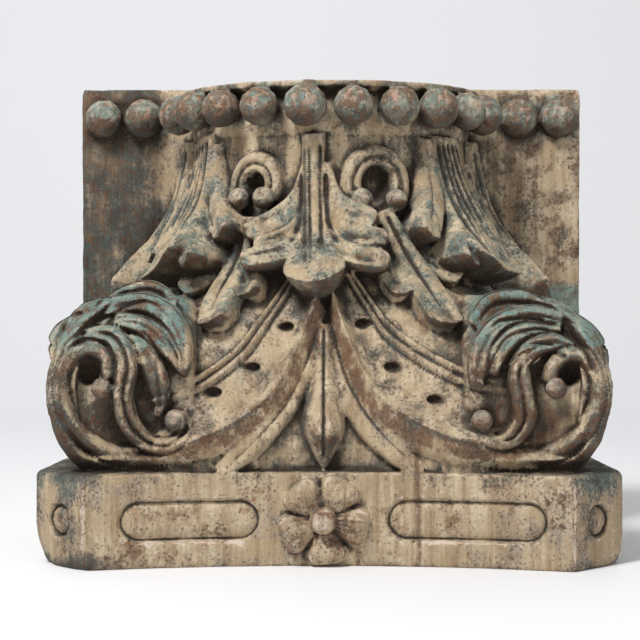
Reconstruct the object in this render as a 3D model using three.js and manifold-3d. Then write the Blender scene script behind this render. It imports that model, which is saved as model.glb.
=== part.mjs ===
// A carved half capital that stands on its abacus, with a flat board at the back.
// Millimetres. X runs to the right, the front faces -Y, Z is up.
import * as THREE from "three";
import { mergeVertices } from "three/addons/utils/BufferGeometryUtils.js";
import Module from "manifold-3d";

// Block sizes
const ABACUS_WIDTH = 460;
const ABACUS_HEIGHT = 73;
const DEPTH = 250;
const HEIGHT = 390;
const HORN_CUT = 42;
const FRONT_HOLLOW = 28;
const BOARD_WIDTH = 440;
const BOARD_THICKNESS = 22;
const SIDE_HOLLOW = (ABACUS_WIDTH - BOARD_WIDTH) / 2;

// Bell and neck
const NECK_RADIUS = 118;
const NECK_HEIGHT = 345;
const FOOT_RADIUS = 182;
const CORNER_SWELL = 64;
const COLLAR_STEP = 3;
const COLLAR_HEIGHT = 31;
const PLATE_EDGE = 9;
const PLATE_THICKNESS = 9;
const COLLAR_RADIUS = NECK_RADIUS + COLLAR_STEP;
const COLLAR_TOP = NECK_HEIGHT + COLLAR_HEIGHT;
const PLATE_RADIUS = COLLAR_RADIUS + PLATE_EDGE;
const PLATE_TOP = COLLAR_TOP + PLATE_THICKNESS;
const BELL_SIDES = 18;
const BELL_LEVELS = [0, 0.2, 0.36, 0.5, 0.64, 0.8, 1];

// Beads round the neck
const BEAD_RADIUS = 17.5;
const BEAD_STAND = 15;
const BEAD_RISE = 19;
const BEAD_RING = COLLAR_RADIUS + BEAD_STAND;
const BEAD_HEIGHT = NECK_HEIGHT + BEAD_RISE;
const BEAD_COUNT = 10;
const BEAD_STEP = 16.6;
const BOARD_BEAD_X = [165, 200];

// Corner scrolls
const SCROLL_SPREAD = 163;
const SCROLL_REACH = 56;
const SCROLL_RISE = 75;
const SCROLL_HEIGHT = 141;
const SCROLL_CENTRE = 143;
const SCROLL_MIDDLE = 135;
const RIM_BAND = 11;
const FACE_RECESS = 12;
const FACE_SHIFT = 6;
const FACE_SPLAY = 0.12;
const SCROLL_LEVELS = [0, 0.22, 0.46, 0.66, 0.82, 0.93, 1];

// Sunk panels, discs and flower on the abacus
const PANEL_HALF_HEIGHT = 12.5;
const PANEL_ENDS = [[-158, -57], [49, 165]];
const GROOVE = 3.5;
const GROOVE_DEPTH = 4;
const DISC_RADIUS = 9.5;
const FRONT_PARTS = 8;
const SIDE_PARTS = 3;
const FLOWER_X = -4;
const FLOWER_Z = ABACUS_HEIGHT / 2;
const FLOWER_RADIUS = 35;
const FLOWER_BALL = 10.5;
const PETALS = 5;
const PETAL_START = 60;
const PETAL_STATIONS = [[0.15, 8, 4], [0.4, 9, 10], [0.75, 11, 15], [1, 8, 10]];

// Punched holes along the ribbons: degrees round, hundredths of the bell's height
const RIBBON_HOLES = [[-12.6, 41], [-19.4, 29.5], [-26, 22.5], [10.3, 42], [16.4, 29.5], [24, 20.5]];
const HOLE_RADIUS = 4.8;

// Shared working values
const EMBED = 4;
const AXIS_Y = DEPTH / 2 - BOARD_THICKNESS;
const BELL_HEIGHT = NECK_HEIGHT - ABACUS_HEIGHT;
const BELL_UNIT = BELL_HEIGHT / 100;
const SCROLL_UNIT = SCROLL_HEIGHT / 100;
const HALF_WIDTH = ABACUS_WIDTH / 2;
const HORN_X = HALF_WIDTH - HORN_CUT;
const HORN_Y = HORN_CUT - DEPTH / 2;
const DEGREE = Math.PI / 180;
const MERGE_GAP = 0.001;
const ROOT = 5;
const NOSE_TURNS = [60];
const BROAD_NOSE_TURNS = [40, 72];
const PROFILE = [[-1, 0], [-0.7, 0.92], [0, 1], [0.7, 0.92], [1, 0]];
const BAND_PROFILE = [[-1, 0], [-0.55, 1], [0.55, 1], [1, 0]];
const BROAD_PROFILE = [[-1, 0], [-1, 0.72], [-0.5, 1], [0, 1], [0.5, 1], [1, 0.72], [1, 0]];

const wasm = await Module();
wasm.setup();

// Smooth step from 0 to 1.
function ease(value) {
  return THREE.MathUtils.smoothstep(value, 0, 1);
}

// Closed solid from a geometry whose shared corners are merged.
function solid(geometry) {
  geometry.deleteAttribute("normal");
  geometry.deleteAttribute("uv");
  const merged = mergeVertices(geometry, MERGE_GAP);
  const made = new wasm.Manifold(new wasm.Mesh({
    numProp: 3,
    vertProperties: new Float32Array(merged.getAttribute("position").array),
    triVerts: new Uint32Array(merged.getIndex().array),
  }));
  return made;
}

// Solid skin over a stack of rings with the same number of points, each ring
// running anticlockwise seen from the end of the stack.
function loft(rings) {
  const count = rings[0].length;
  const indices = [];
  for (let row = 0; row + 1 < rings.length; row += 1) {
    for (let i = 0; i < count; i += 1) {
      const a = row * count + i;
      const b = row * count + ((i + 1) % count);
      indices.push(a, b, b + count, a, b + count, a + count);
    }
  }
  const last = (rings.length - 1) * count;
  for (const [a, b, c] of THREE.ShapeUtils.triangulateShape(flatten(rings[0]), [])) {
    indices.push(a, c, b);
  }
  for (const [a, b, c] of THREE.ShapeUtils.triangulateShape(flatten(rings.at(-1)), [])) {
    indices.push(last + a, last + b, last + c);
  }
  const geometry = new THREE.BufferGeometry();
  geometry.setAttribute("position", new THREE.Float32BufferAttribute(rings.flat(2), 3));
  geometry.setIndex(indices);
  return solid(geometry);
}

// Ring drawn flat in its own mean plane, for filling its end.
function flatten(ring) {
  const points = ring.map((p) => new THREE.Vector3(...p));
  const middle = points.reduce((sum, p) => sum.add(p), new THREE.Vector3()).divideScalar(points.length);
  const arms = points.map((p) => p.clone().sub(middle));
  const normal = new THREE.Vector3();
  arms.forEach((arm, i) => normal.add(arm.clone().cross(arms[(i + 1) % arms.length])));
  normal.normalize();
  const across = arms[0].clone().addScaledVector(normal, -arms[0].dot(normal)).normalize();
  const up = normal.clone().cross(across);
  return arms.map((arm) => new THREE.Vector2(arm.dot(across), arm.dot(up)));
}

// Upright prism over a plan outline.
function prism(outline, low, high) {
  const shape = new THREE.Shape(outline.map(([x, y]) => new THREE.Vector2(x, y)));
  const geometry = new THREE.ExtrudeGeometry(shape, { depth: high - low, bevelEnabled: false });
  return solid(geometry.translate(0, 0, low));
}

// Ball as cut by hand, with a few facets round it and up it.
function bead(centre, radius, round = 6, up = 4) {
  return solid(new THREE.SphereGeometry(radius, round, up).rotateX(Math.PI / 2).translate(...centre));
}

// Radius of the round bell at a height.
function bellRadius(z) {
  const fall = ease((Math.max(0, NECK_HEIGHT - z) / BELL_HEIGHT) ** 1.3);
  return NECK_RADIUS + (FOOT_RADIUS - NECK_RADIUS) * fall;
}

// The bell swells toward its corners below the leaves.
function bodyRadius(angle, z) {
  const rise = (z - ABACUS_HEIGHT) / BELL_HEIGHT;
  const swell = CORNER_SWELL * Math.sin(2 * angle) ** 2 * ease((0.67 - rise) / 0.4);
  return bellRadius(z) + swell;
}

// Place on the bell: degrees round, hundredths of the bell's height, millimetres out.
function onBell(turn, share, lift) {
  const z = ABACUS_HEIGHT + share * BELL_UNIT;
  const radius = bodyRadius(turn * DEGREE, z) + lift;
  return [radius * Math.sin(turn * DEGREE), AXIS_Y - radius * Math.cos(turn * DEGREE), z];
}

// Half width of the corner scroll block at a height, measured from the axis.
function scrollReach(z) {
  const rise = (z - SCROLL_MIDDLE) / SCROLL_RISE;
  return SCROLL_SPREAD + SCROLL_REACH * Math.sqrt(Math.max(0.02, 1 - rise * rise));
}

// Distance of the sunk scroll face in front of the axis.
function scrollFace(x, z) {
  const reach = scrollReach(z);
  return reach - FACE_RECESS - (reach - x) * FACE_SPLAY;
}

// Maker of places on one scroll face, in hundredths of the scroll's height from
// its centre; the side faces mirror the front ones about the corner diagonal.
function scrollPlace(side, turned) {
  return (across, up, lift) => {
    const x = SCROLL_SPREAD - FACE_SHIFT + across * SCROLL_UNIT;
    const z = SCROLL_CENTRE + up * SCROLL_UNIT;
    const forward = scrollFace(x, z) + lift;
    return turned ? [side * forward, AXIS_Y - x, z] : [side * x, AXIS_Y - forward, z];
  };
}

// Hollow front line of the abacus.
function frontY(x) {
  return -DEPTH / 2 + FRONT_HOLLOW * (1 - (x / HORN_X) ** 2);
}

function onFront(x, z, lift) {
  return [x, frontY(x) - lift, z];
}

// Stations spaced evenly along the smooth curve through the given ones.
function spaced(stations, steps) {
  const curve = (pick) => new THREE.CatmullRomCurve3(stations.map(pick), false, "catmullrom", 0.5);
  const line = curve(([u, v, lift]) => new THREE.Vector3(u, v, lift));
  const width = curve(([, , , half]) => new THREE.Vector3(half, 0, 0));
  return Array.from({ length: steps + 1 }, (_, i) => {
    const { x, y, z } = line.getPoint(i / steps);
    return [x, y, z, width.getPoint(i / steps).x];
  });
}

// Carved stroke on a surface. Stations are [u, v, lift, half width]; lift and
// width are in the given unit. The section has a rib or a hollow down the middle
// and falls to its edges. A nose closes the end with a rounded underside.
function stroke(place, unit, stations, { steps = 4, rib = 0, nose = 0, broad = false } = {}) {
  const spine = spaced(stations, steps);
  const spots = spine.map(([u, v, lift]) => new THREE.Vector3(...place(u, v, lift * unit)));
  const rings = spine.map(([u, v, lift, half], i) => {
    const ahead = spots[Math.min(steps, i + 1)].clone().sub(spots[Math.max(0, i - 1)]).normalize();
    const foot = new THREE.Vector3(...place(u, v, 0));
    const out = new THREE.Vector3(...place(u, v, 1)).sub(foot).normalize();
    const side = ahead.clone().cross(out).normalize();
    return { foot, out, side, ahead, lift: lift * unit, half: half * unit, fall: 1 };
  });
  if (nose > 0) {
    const tip = rings.at(-1);
    const drop = tip.ahead.clone().addScaledVector(tip.out, -tip.ahead.dot(tip.out)).normalize();
    for (const turn of broad ? BROAD_NOSE_TURNS : NOSE_TURNS) {
      const foot = tip.foot.clone().addScaledVector(drop, nose * unit * Math.sin(turn * DEGREE));
      const fall = Math.cos(turn * DEGREE);
      rings.push({ ...tip, foot, half: tip.half * Math.sqrt(fall), fall });
    }
  }
  const ridged = rib !== 0 || nose > 0;
  const profile = broad ? BROAD_PROFILE : ridged ? PROFILE : BAND_PROFILE;
  return loft(rings.map(({ foot, out, side, lift, half, fall }) => profile.map(([s, h]) => {
    const rise = (h + (s === 0 ? rib : 0)) * (lift + ROOT) * fall - ROOT;
    return foot.clone().addScaledVector(side, s * half).addScaledVector(out, rise).toArray();
  })));
}

// Low pad on a surface, given by columns [u, low v, high v].
function pad(place, columns, low, high) {
  return loft(columns.map(([u, v0, v1]) => [
    place(u, v1, low), place(u, v1, high), place(u, v0, high), place(u, v0, low),
  ]));
}

// Columns of a round-ended panel.
function panelColumns(u0, u1, middle, half) {
  const turns = [15, 45, 75];
  const ends = turns.map((turn) => [half * (1 - Math.cos(turn * DEGREE)), half * Math.sin(turn * DEGREE)]);
  const spans = [0, 1 / 3, 2 / 3, 1].map((share) => [u0 + half + (u1 - u0 - 2 * half) * share, half]);
  const list = [
    ...ends.map(([run, rise]) => [u0 + run, rise]),
    ...spans,
    ...ends.reverse().map(([run, rise]) => [u1 - run, rise]),
  ];
  return list.map(([u, rise]) => [u, middle - rise, middle + rise]);
}

// Abacus block with hollow front and sides and cut horns.
function abacusPlan() {
  const front = Array.from({ length: FRONT_PARTS + 1 }, (_, i) => {
    const x = HORN_X * ((2 * i) / FRONT_PARTS - 1);
    return [x, frontY(x)];
  });
  const side = Array.from({ length: SIDE_PARTS + 1 }, (_, i) => {
    const share = i / SIDE_PARTS;
    return [HALF_WIDTH - SIDE_HOLLOW * share * (2 - share), HORN_Y + (DEPTH / 2 - HORN_Y) * share];
  });
  const left = side.map(([x, y]) => [-x, y]).reverse();
  return [...front, ...side, ...left];
}

// Half round outline about the axis, carried a little into the board.
function halfRound(radiusAt, sides) {
  const arc = Array.from({ length: sides + 1 }, (_, i) => {
    const turn = (180 * (i / sides) - 90) * DEGREE;
    return [radiusAt(turn) * Math.sin(turn), AXIS_Y - radiusAt(turn) * Math.cos(turn)];
  });
  const reach = arc[sides][0];
  return [...arc, [reach, AXIS_Y + EMBED], [-reach, AXIS_Y + EMBED]];
}

// Bell and neck, from inside the abacus up to the collar.
function bellBody() {
  return loft(BELL_LEVELS.map((share) => {
    const z = ABACUS_HEIGHT + share * BELL_HEIGHT - (share === 0 ? EMBED : 0);
    return halfRound((turn) => bodyRadius(turn, z), BELL_SIDES).map(([x, y]) => [x, y, z]);
  }));
}

// Corner block of one scroll pair, with its rim ridges and the band between them.
function scrollBlock(side) {
  return loft(SCROLL_LEVELS.map((share) => {
    const z = ABACUS_HEIGHT - EMBED + share * (SCROLL_MIDDLE + SCROLL_RISE - ABACUS_HEIGHT + 1);
    const reach = scrollReach(z);
    const rise = Math.max(0, z - SCROLL_CENTRE) / SCROLL_RISE;
    const inner = SCROLL_SPREAD - SCROLL_REACH * Math.sqrt(Math.max(0.05, 1 - rise * rise));
    const front = [
      [inner, scrollFace(inner, z)],
      [reach - 2 * RIM_BAND, scrollFace(reach - 2 * RIM_BAND, z)],
      [reach - RIM_BAND, reach],
    ];
    const turned = front.map(([x, q]) => [q, x]).reverse();
    const plan = [[NECK_RADIUS / 2, NECK_RADIUS / 2], ...front, ...turned];
    const placed = plan.map(([x, q]) => [side * x, AXIS_Y - q, z]);
    return side > 0 ? placed : placed.reverse();
  }));
}

// Strokes of one scroll face; numbers are hundredths of the scroll's height.
const SCROLL_STROKES = {
  left: [
    [[[-35, -37, 5, 6], [-13, -40, 6, 6.5], [8, -39, 8, 6], [24, -29, 9, 5], [33, -14, 9, 4.5], [34.5, 2, 9, 4.5],
      [30, 13, 9, 5], [20, 18, 9, 5], [11, 13, 9, 5], [9, 2, 8, 5]], { steps: 10 }],
    [[[24, 21, 4, 4], [12, 25, 8, 5], [3, 17, 11, 6], [0, -3, 11, 6.5], [-2, -22, 10, 6], [-11, -32, 9, 5],
      [-24, -33, 8, 4.5], [-32, -26, 7, 4]], { steps: 8, rib: -0.2 }],
    [[[0, 28, 5, 6], [-9, 18, 9, 7], [-12, 4, 10, 8], [-9, -10, 8, 7], [-10, -22, 4, 4]], { steps: 5, rib: -0.15 }],
    [[[10, 30, 5, 5], [-8, 30, 10, 5.5], [-18, 22, 11, 6], [-24, 8, 9, 4]], { steps: 4 }],
    [[[18, 36, 4, 6], [-2, 40, 10, 7], [-20, 34, 13, 7], [-29, 20, 14, 6], [-33, 6, 11, 3]], { steps: 6, rib: 0.12 }],
    [[[16, 33, 0, 5], [4, 42, 6, 8], [-10, 44, 7, 8], [-23, 36, 6, 5]], { steps: 4 }],
    [[[37, 10, -3, 5], [33, 23, 0, 7], [24, 31, 2, 7], [14, 33, 0, 5]], { steps: 4 }],
  ],
  right: [
    [[[-35, -38, 5, 6], [-8, -43, 6, 6.5], [14, -38, 8, 6], [28, -26, 9, 5], [35, -10, 9, 4.5], [34, 5, 9, 4.5],
      [28, 14, 9, 5], [19, 15, 9, 5], [12, 9, 9, 5], [10, 0, 8, 4.5]], { steps: 10 }],
    [[[4, 16, 6, 4], [-6, 8, 10, 5.5], [-5, -8, 11, 6], [-4, -21, 10, 6], [-11, -31, 9, 5], [-21, -32, 8, 4.5],
      [-27, -25, 7, 4]], { steps: 7, rib: -0.15 }],
    [[[22, 18, 6, 5], [12, 22, 10, 5.5], [0, 18, 11, 6], [-9, 7, 8, 5]], { steps: 4 }],
    [[[16, 26, 6, 5], [-4, 27, 10, 6], [-16, 18, 10, 6], [-21, 4, 7, 4]], { steps: 5 }],
    [[[18, 33, 4, 6], [0, 36, 10, 7], [-18, 30, 13, 7], [-28, 14, 14, 7], [-30, -4, 10, 4]], { steps: 6, rib: 0.12 }],
    [[[12, 38, 0, 5], [-4, 43, 6, 8], [-20, 41, 6, 8], [-30, 30, 5, 5]], { steps: 4 }],
    [[[38, 5, -3, 5], [35, 20, 0, 7], [25, 31, 2, 7], [15, 35, 0, 5]], { steps: 4 }],
  ],
  plain: [
    [[[-34, -37, 4, 6], [-2, -43, 6, 6], [28, -24, 9, 5], [33, 8, 9, 5], [18, 17, 9, 5], [9, 2, 8, 5]], { steps: 7 }],
    [[[14, 26, 5, 5], [0, 14, 10, 6], [-2, -18, 10, 6], [-15, -32, 8, 5], [-28, -27, 7, 4]], { steps: 4 }],
    [[[18, 34, 4, 6], [-6, 38, 10, 7], [-26, 24, 12, 7], [-32, 4, 9, 4]], { steps: 3 }],
  ],
};
const TENDRIL_BALL = [-27, -20, 6, 7];
const SCROLL_EYE = [21, 4, 3, 6.5];

// Both corner scrolls, each with a front and a side face.
function scrolls() {
  return [[-1, "left"], [1, "right"]].map(([side, front]) => {
    let block = scrollBlock(side);
    for (const turned of [false, true]) {
      const place = scrollPlace(side, turned);
      for (const [stations, form] of SCROLL_STROKES[turned ? "plain" : front]) {
        block = block.add(stroke(place, SCROLL_UNIT, stations, form));
      }
      const [u, v, lift, radius] = TENDRIL_BALL;
      block = block.add(bead(place(u, v, lift * SCROLL_UNIT), radius * SCROLL_UNIT));
      const [eyeU, eyeV, eyeLift, eyeRadius] = SCROLL_EYE;
      block = block.subtract(bead(place(eyeU, eyeV, eyeLift * SCROLL_UNIT), eyeRadius * SCROLL_UNIT));
    }
    return block;
  });
}

// Strokes on the bell; places in degrees round and hundredths of the bell's
// height, lifts and half widths in hundredths of that height.
const BELL_STROKES = [
  // centre leaf and its lobes
  [[[-6.5, 99, 3, 5], [-6, 82, 5, 5], [-5.1, 66, 10, 8], [-4.1, 54.5, 17, 10]], { rib: 0.1, nose: 8, broad: true, steps: 4 }],
  [[[-7, 92, 2, 3], [-11, 82, 6, 4], [-15, 77, 9, 5], [-20.5, 74, 13, 4]], { steps: 4, nose: 6 }],
  [[[-7, 82, 3, 3], [-10, 75, 8, 4.5], [-13.5, 70, 10, 5.5], [-20, 66.5, 14, 4.5]], { steps: 4, nose: 7 }],
  [[[-5, 92, 2, 3], [-1, 82, 6, 4], [4, 77, 9, 5], [11.5, 74, 13, 4]], { steps: 4, nose: 6 }],
  [[[-5, 82, 3, 3], [-1, 75, 8, 4.5], [4, 69.5, 10, 5.5], [11, 67, 14, 4.5]], { steps: 4, nose: 7 }],
  // left corner leaf and its lobes
  [[[-62, 99, 3, 7], [-57, 83, 8, 9], [-54, 69, 15, 11], [-49, 58, 25, 12.5]], { rib: 0.12, nose: 9, broad: true, steps: 4 }],
  [[[-54, 96, 3, 4], [-45, 81, 7, 5], [-38, 74, 10, 5], [-32, 69.5, 14, 4.5]], { steps: 4, nose: 7 }],
  [[[-53, 82, 6, 4], [-47, 71, 12, 5], [-42, 65, 16, 5.5], [-38, 62.5, 19, 5]], { steps: 4, nose: 7 }],
  [[[-64, 86, 5, 4], [-66, 76, 9, 5], [-65, 68, 13, 5], [-62, 62, 17, 4]], { steps: 3, nose: 5 }],
  // right corner leaf and its lobes
  [[[52, 99, 3, 7], [52, 83, 8, 9], [52, 69, 15, 11], [49.5, 58, 25, 12.5]], { rib: 0.12, nose: 9, broad: true, steps: 4 }],
  [[[42, 98, 2, 4], [37, 84, 7, 5], [33.5, 76, 11, 5.5], [29, 70, 14, 5]], { steps: 4, nose: 7 }],
  [[[46, 82, 6, 4], [43, 72, 12, 5], [40, 66, 15, 5.5], [37.5, 63, 18, 5]], { steps: 4, nose: 7 }],
  [[[62, 86, 5, 4], [65, 76, 9, 5], [64, 68, 13, 5], [61, 62, 17, 4]], { steps: 3, nose: 5 }],
  // half leaves against the board
  [[[-88, 99, 4, 5], [-87, 80, 8, 6], [-85, 62, 15, 8], [-78, 50, 22, 8]], { nose: 6 }],
  [[[88, 99, 4, 5], [87, 80, 8, 6], [85, 62, 15, 8], [78, 50, 22, 8]], { nose: 6 }],
  // leaflets below the eyes
  [[[-33, 70, 3, 3], [-34, 63, 4, 4], [-37, 56.5, 6, 4.5], [-39, 51.5, 8, 4]], { steps: 3, nose: 4 }],
  [[[-31, 74, 4, 3.5], [-29.5, 58, 6, 5], [-28, 49, 8, 6], [-26, 41.5, 10, 5]], { steps: 4, rib: -0.15, nose: 5 }],
  [[[-31, 70, 3, 3], [-28, 61, 4, 4], [-24.5, 56, 6, 4.5], [-22, 51.5, 8, 3.5]], { steps: 3, nose: 4 }],
  [[[22, 71, 3, 3], [19.5, 62.5, 4, 4], [20, 57, 6, 4.5], [21, 52.5, 8, 4]], { steps: 3, nose: 4 }],
  [[[20, 76, 4, 3.5], [26, 62, 6, 5], [28, 50, 8, 6], [27.5, 41.5, 10, 5.5]], { steps: 4, rib: -0.15, nose: 5 }],
  [[[26, 72, 3, 3], [32, 64, 4, 4], [35.5, 59.5, 6, 4.5], [39, 55.5, 8, 4]], { steps: 3, nose: 4 }],
  // rolled lower borders of the ribbons
  [[[-2.5, 47, 2, 2], [-6, 36, 4, 3.6], [-11, 23, 5, 3.8], [-17, 15, 5, 3.6], [-33, 5, 5, 3.6]], { steps: 7 }],
  [[[0.5, 47, 2, 2], [4.5, 33, 4, 3.6], [10, 19, 5, 3.8], [16, 11, 5, 3.6], [33, 4, 5, 3.6]], { steps: 7 }],
  // fillets along the top of the ribbons
  [[[-14, 57, 1.5, 1.8], [-20, 43, 2, 2], [-23, 33, 2.5, 2], [-31, 23, 3, 2]], {}],
  [[[6, 61, 1.5, 1.8], [13.5, 48, 2, 2], [18, 40, 2.5, 2], [29, 28, 3, 2]], {}],
  // petals either side of the bud
  [[[-3, 44, 0, 1.5], [-7, 30, 3, 2.6], [-11, 18.5, 3.5, 3.2], [-18, 7.5, 3.5, 3], [-23, 0, 2, 1.5]], { steps: 6 }],
  [[[0, 43, 0, 1.5], [3, 28, 3, 2.6], [7, 17, 3.5, 3.2], [13, 8, 3.5, 3], [20, 0, 2, 1.5]], { steps: 6 }],
  // bud
  [[[-1.6, 42, 2, 1.5], [-1.4, 30, 5, 4], [-1.2, 13, 6.5, 6.2], [-1.2, 0, 3, 0.8]], { rib: -0.12 }],
  // ribbons on the sides
  [[[-85, 45, 2, 2], [-80, 22, 4, 3.4], [-66, 9, 5, 3.4], [-56, 4, 5, 3.4]], {}],
  [[[85, 45, 2, 2], [80, 22, 4, 3.4], [66, 9, 5, 3.4], [56, 4, 5, 3.4]], {}],
];

// Arched eyes between the leaves: [turn, share, spread in degrees, rise].
const EYES = [[-28.7, 84.3, 6.8, 6.2], [17, 84.5, 8.8, 7.8], [-71, 81, 5.5, 6.5], [69, 82, 5.5, 6.5]];
const EYE_SWINGS = [-125, -62, 0, 62, 125];
const EYE_LIFT = 4;
const EYE_HALF_WIDTH = 2.4;
const EYE_BALL = 3.3;

function eyes() {
  return EYES.flatMap(([turn, share, spread, rise]) => {
    const arch = EYE_SWINGS.map((swing) => [
      turn + spread * Math.sin(swing * DEGREE), share + rise * Math.cos(swing * DEGREE), EYE_LIFT, EYE_HALF_WIDTH,
    ]);
    const ends = [arch[0], arch.at(-1)].map(([u, v]) => {
      const centre = onBell(u + (turn - u) * 0.2, v, EYE_LIFT * BELL_UNIT);
      return bead(centre, EYE_BALL * BELL_UNIT);
    });
    return [stroke(onBell, BELL_UNIT, arch, { steps: 6 }), ...ends];
  });
}

// Beads round the neck and on the board either side of it.
function beads() {
  const ring = Array.from({ length: BEAD_COUNT }, (_, i) => {
    const turn = (i - (BEAD_COUNT - 1) / 2) * BEAD_STEP * DEGREE;
    return [BEAD_RING * Math.sin(turn), AXIS_Y - BEAD_RING * Math.cos(turn), BEAD_HEIGHT];
  });
  const flat = BOARD_BEAD_X.flatMap((x) => [[-x, AXIS_Y - EMBED, BEAD_HEIGHT], [x, AXIS_Y - EMBED, BEAD_HEIGHT]]);
  return [...ring, ...flat].map((centre) => bead(centre, BEAD_RADIUS, 8, 5));
}

// Five petals round a ball at the middle of the abacus.
function flower() {
  const petals = Array.from({ length: PETALS }, (_, i) => {
    const turn = (PETAL_START + (360 * i) / PETALS) * DEGREE;
    const stations = PETAL_STATIONS.map(([share, lift, half]) => [
      FLOWER_X + FLOWER_RADIUS * share * Math.cos(turn),
      FLOWER_Z + FLOWER_RADIUS * share * Math.sin(turn), lift, half,
    ]);
    return stroke(onFront, 1, stations, { steps: 3, rib: -0.25 });
  });
  return [...petals, bead(onFront(FLOWER_X, FLOWER_Z, 8), FLOWER_BALL, 7, 5)];
}

// Panels sunk in the abacus front, each with a cushion standing in its groove.
function cutPanels(block) {
  return PANEL_ENDS.reduce((cut, [x0, x1]) => {
    const outer = panelColumns(x0 - GROOVE, x1 + GROOVE, FLOWER_Z, PANEL_HALF_HEIGHT + GROOVE);
    const inner = panelColumns(x0, x1, FLOWER_Z, PANEL_HALF_HEIGHT);
    return cut.subtract(pad(onFront, outer, -GROOVE_DEPTH, EMBED))
      .add(pad(onFront, inner, -GROOVE_DEPTH - 1, 0));
  }, block);
}

// Round discs in a groove on the two horn cuts.
function cutDiscs(block) {
  return [-1, 1].reduce((cut, side) => {
    const middle = (HORN_CUT / 2) * Math.SQRT2;
    const onCut = (along, z, lift) => [
      side * (HORN_X + (along + lift) * Math.SQRT1_2), -DEPTH / 2 + (along - lift) * Math.SQRT1_2, z,
    ];
    const place = side > 0 ? onCut : (along, z, lift) => onCut(2 * middle - along, z, lift);
    const columns = (half) => panelColumns(middle - half, middle + half, FLOWER_Z, half);
    return cut.subtract(pad(place, columns(DISC_RADIUS + GROOVE), -GROOVE_DEPTH, EMBED))
      .add(pad(place, columns(DISC_RADIUS), -GROOVE_DEPTH - 1, 0));
  }, block);
}

function build() {
  const board = new THREE.BoxGeometry(BOARD_WIDTH, BOARD_THICKNESS, HEIGHT - ABACUS_HEIGHT + EMBED);
  board.translate(0, AXIS_Y + BOARD_THICKNESS / 2, (HEIGHT + ABACUS_HEIGHT - EMBED) / 2);
  const abacus = cutDiscs(cutPanels(prism(abacusPlan(), 0, ABACUS_HEIGHT)));
  const parts = [
    solid(board),
    bellBody(),
    prism(halfRound(() => COLLAR_RADIUS, BELL_SIDES), NECK_HEIGHT - EMBED, COLLAR_TOP + EMBED),
    prism(halfRound(() => PLATE_RADIUS, BELL_SIDES), COLLAR_TOP, PLATE_TOP),
    ...scrolls(),
    ...BELL_STROKES.map(([stations, form]) => stroke(onBell, BELL_UNIT, stations, form)),
    ...eyes(),
    ...beads(),
    ...flower(),
  ];
  const joined = parts.reduce((sum, part) => sum.add(part), abacus);
  const punched = RIBBON_HOLES.reduce(
    (sum, [turn, share]) => sum.subtract(bead(onBell(turn, share, 2), HOLE_RADIUS)), joined,
  );
  // small hollows closed in between strokes are filled
  return punched.decompose().reduce((best, shell) => (shell.volume() > best.volume() ? shell : best));
}

const mesh = build().getMesh();
const geometry = new THREE.BufferGeometry();
geometry.setAttribute("position", new THREE.Float32BufferAttribute(mesh.vertProperties, 3));
geometry.setIndex(new THREE.Uint32BufferAttribute(mesh.triVerts, 1));
geometry.computeVertexNormals();

const capital = new THREE.Mesh(geometry, new THREE.MeshStandardMaterial({ color: 0xb8a88c, roughness: 0.85 }));
capital.name = "capital";

const group = new THREE.Group();
group.add(capital);
export default group;
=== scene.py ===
"""Looks of a carved and painted half capital that stands on its abacus.

The whole capital is one carved block, so one finished mesh stands for the solid. Its parts are cut
as closed shapes, run together into one skin, softened and worn, and painted by procedural nodes
that read how hollow, creased or exposed each place is.
"""

import logging
import math
from collections.abc import Callable
from dataclasses import dataclass, field
from enum import Enum

import bmesh
import bpy
import numpy as np
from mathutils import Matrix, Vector
from mathutils.bvhtree import BVHTree
from mathutils.kdtree import KDTree


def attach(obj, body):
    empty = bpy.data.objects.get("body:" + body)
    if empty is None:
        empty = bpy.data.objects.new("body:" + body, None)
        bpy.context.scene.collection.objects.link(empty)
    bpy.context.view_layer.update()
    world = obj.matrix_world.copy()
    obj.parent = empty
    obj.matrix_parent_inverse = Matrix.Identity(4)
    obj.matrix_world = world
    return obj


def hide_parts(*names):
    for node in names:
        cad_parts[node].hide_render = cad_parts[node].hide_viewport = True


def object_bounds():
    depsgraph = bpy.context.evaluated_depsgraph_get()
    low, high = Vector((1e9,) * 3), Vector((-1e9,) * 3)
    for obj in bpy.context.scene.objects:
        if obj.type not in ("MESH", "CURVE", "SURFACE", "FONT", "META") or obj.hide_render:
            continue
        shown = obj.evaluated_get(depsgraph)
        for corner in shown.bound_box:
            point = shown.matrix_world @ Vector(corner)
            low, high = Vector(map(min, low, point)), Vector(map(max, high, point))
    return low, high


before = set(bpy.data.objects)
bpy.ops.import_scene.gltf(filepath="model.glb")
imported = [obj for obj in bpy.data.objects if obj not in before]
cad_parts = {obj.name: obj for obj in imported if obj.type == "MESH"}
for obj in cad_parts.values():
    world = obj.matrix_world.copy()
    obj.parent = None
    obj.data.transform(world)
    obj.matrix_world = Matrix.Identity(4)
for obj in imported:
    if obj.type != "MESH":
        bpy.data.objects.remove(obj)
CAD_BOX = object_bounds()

logging.basicConfig(level=logging.INFO, format="%(message)s")
LOG = logging.getLogger("capital")

MM = 0.001
Mesh = tuple[np.ndarray, list]
Place = Callable[[np.ndarray, np.ndarray, np.ndarray], np.ndarray]
Vein = tuple[np.ndarray, float, float]
# Millimetres that neighbouring shapes run into each other.
OVERLAP = 4.0
# Depth in millimetres at which a vein is full of dirt and painted shade.
VEIN_DARK_DEPTH = 3.2


def ease(value: np.ndarray) -> np.ndarray:
    """Smooth step of values between 0 and 1."""
    t = np.clip(value, 0.0, 1.0)
    return t * t * (3.0 - 2.0 * t)


def unit(vectors: np.ndarray) -> np.ndarray:
    """Vectors brought to length one."""
    return vectors / np.maximum(np.linalg.norm(vectors, axis=-1, keepdims=True), 1e-9)


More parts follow.
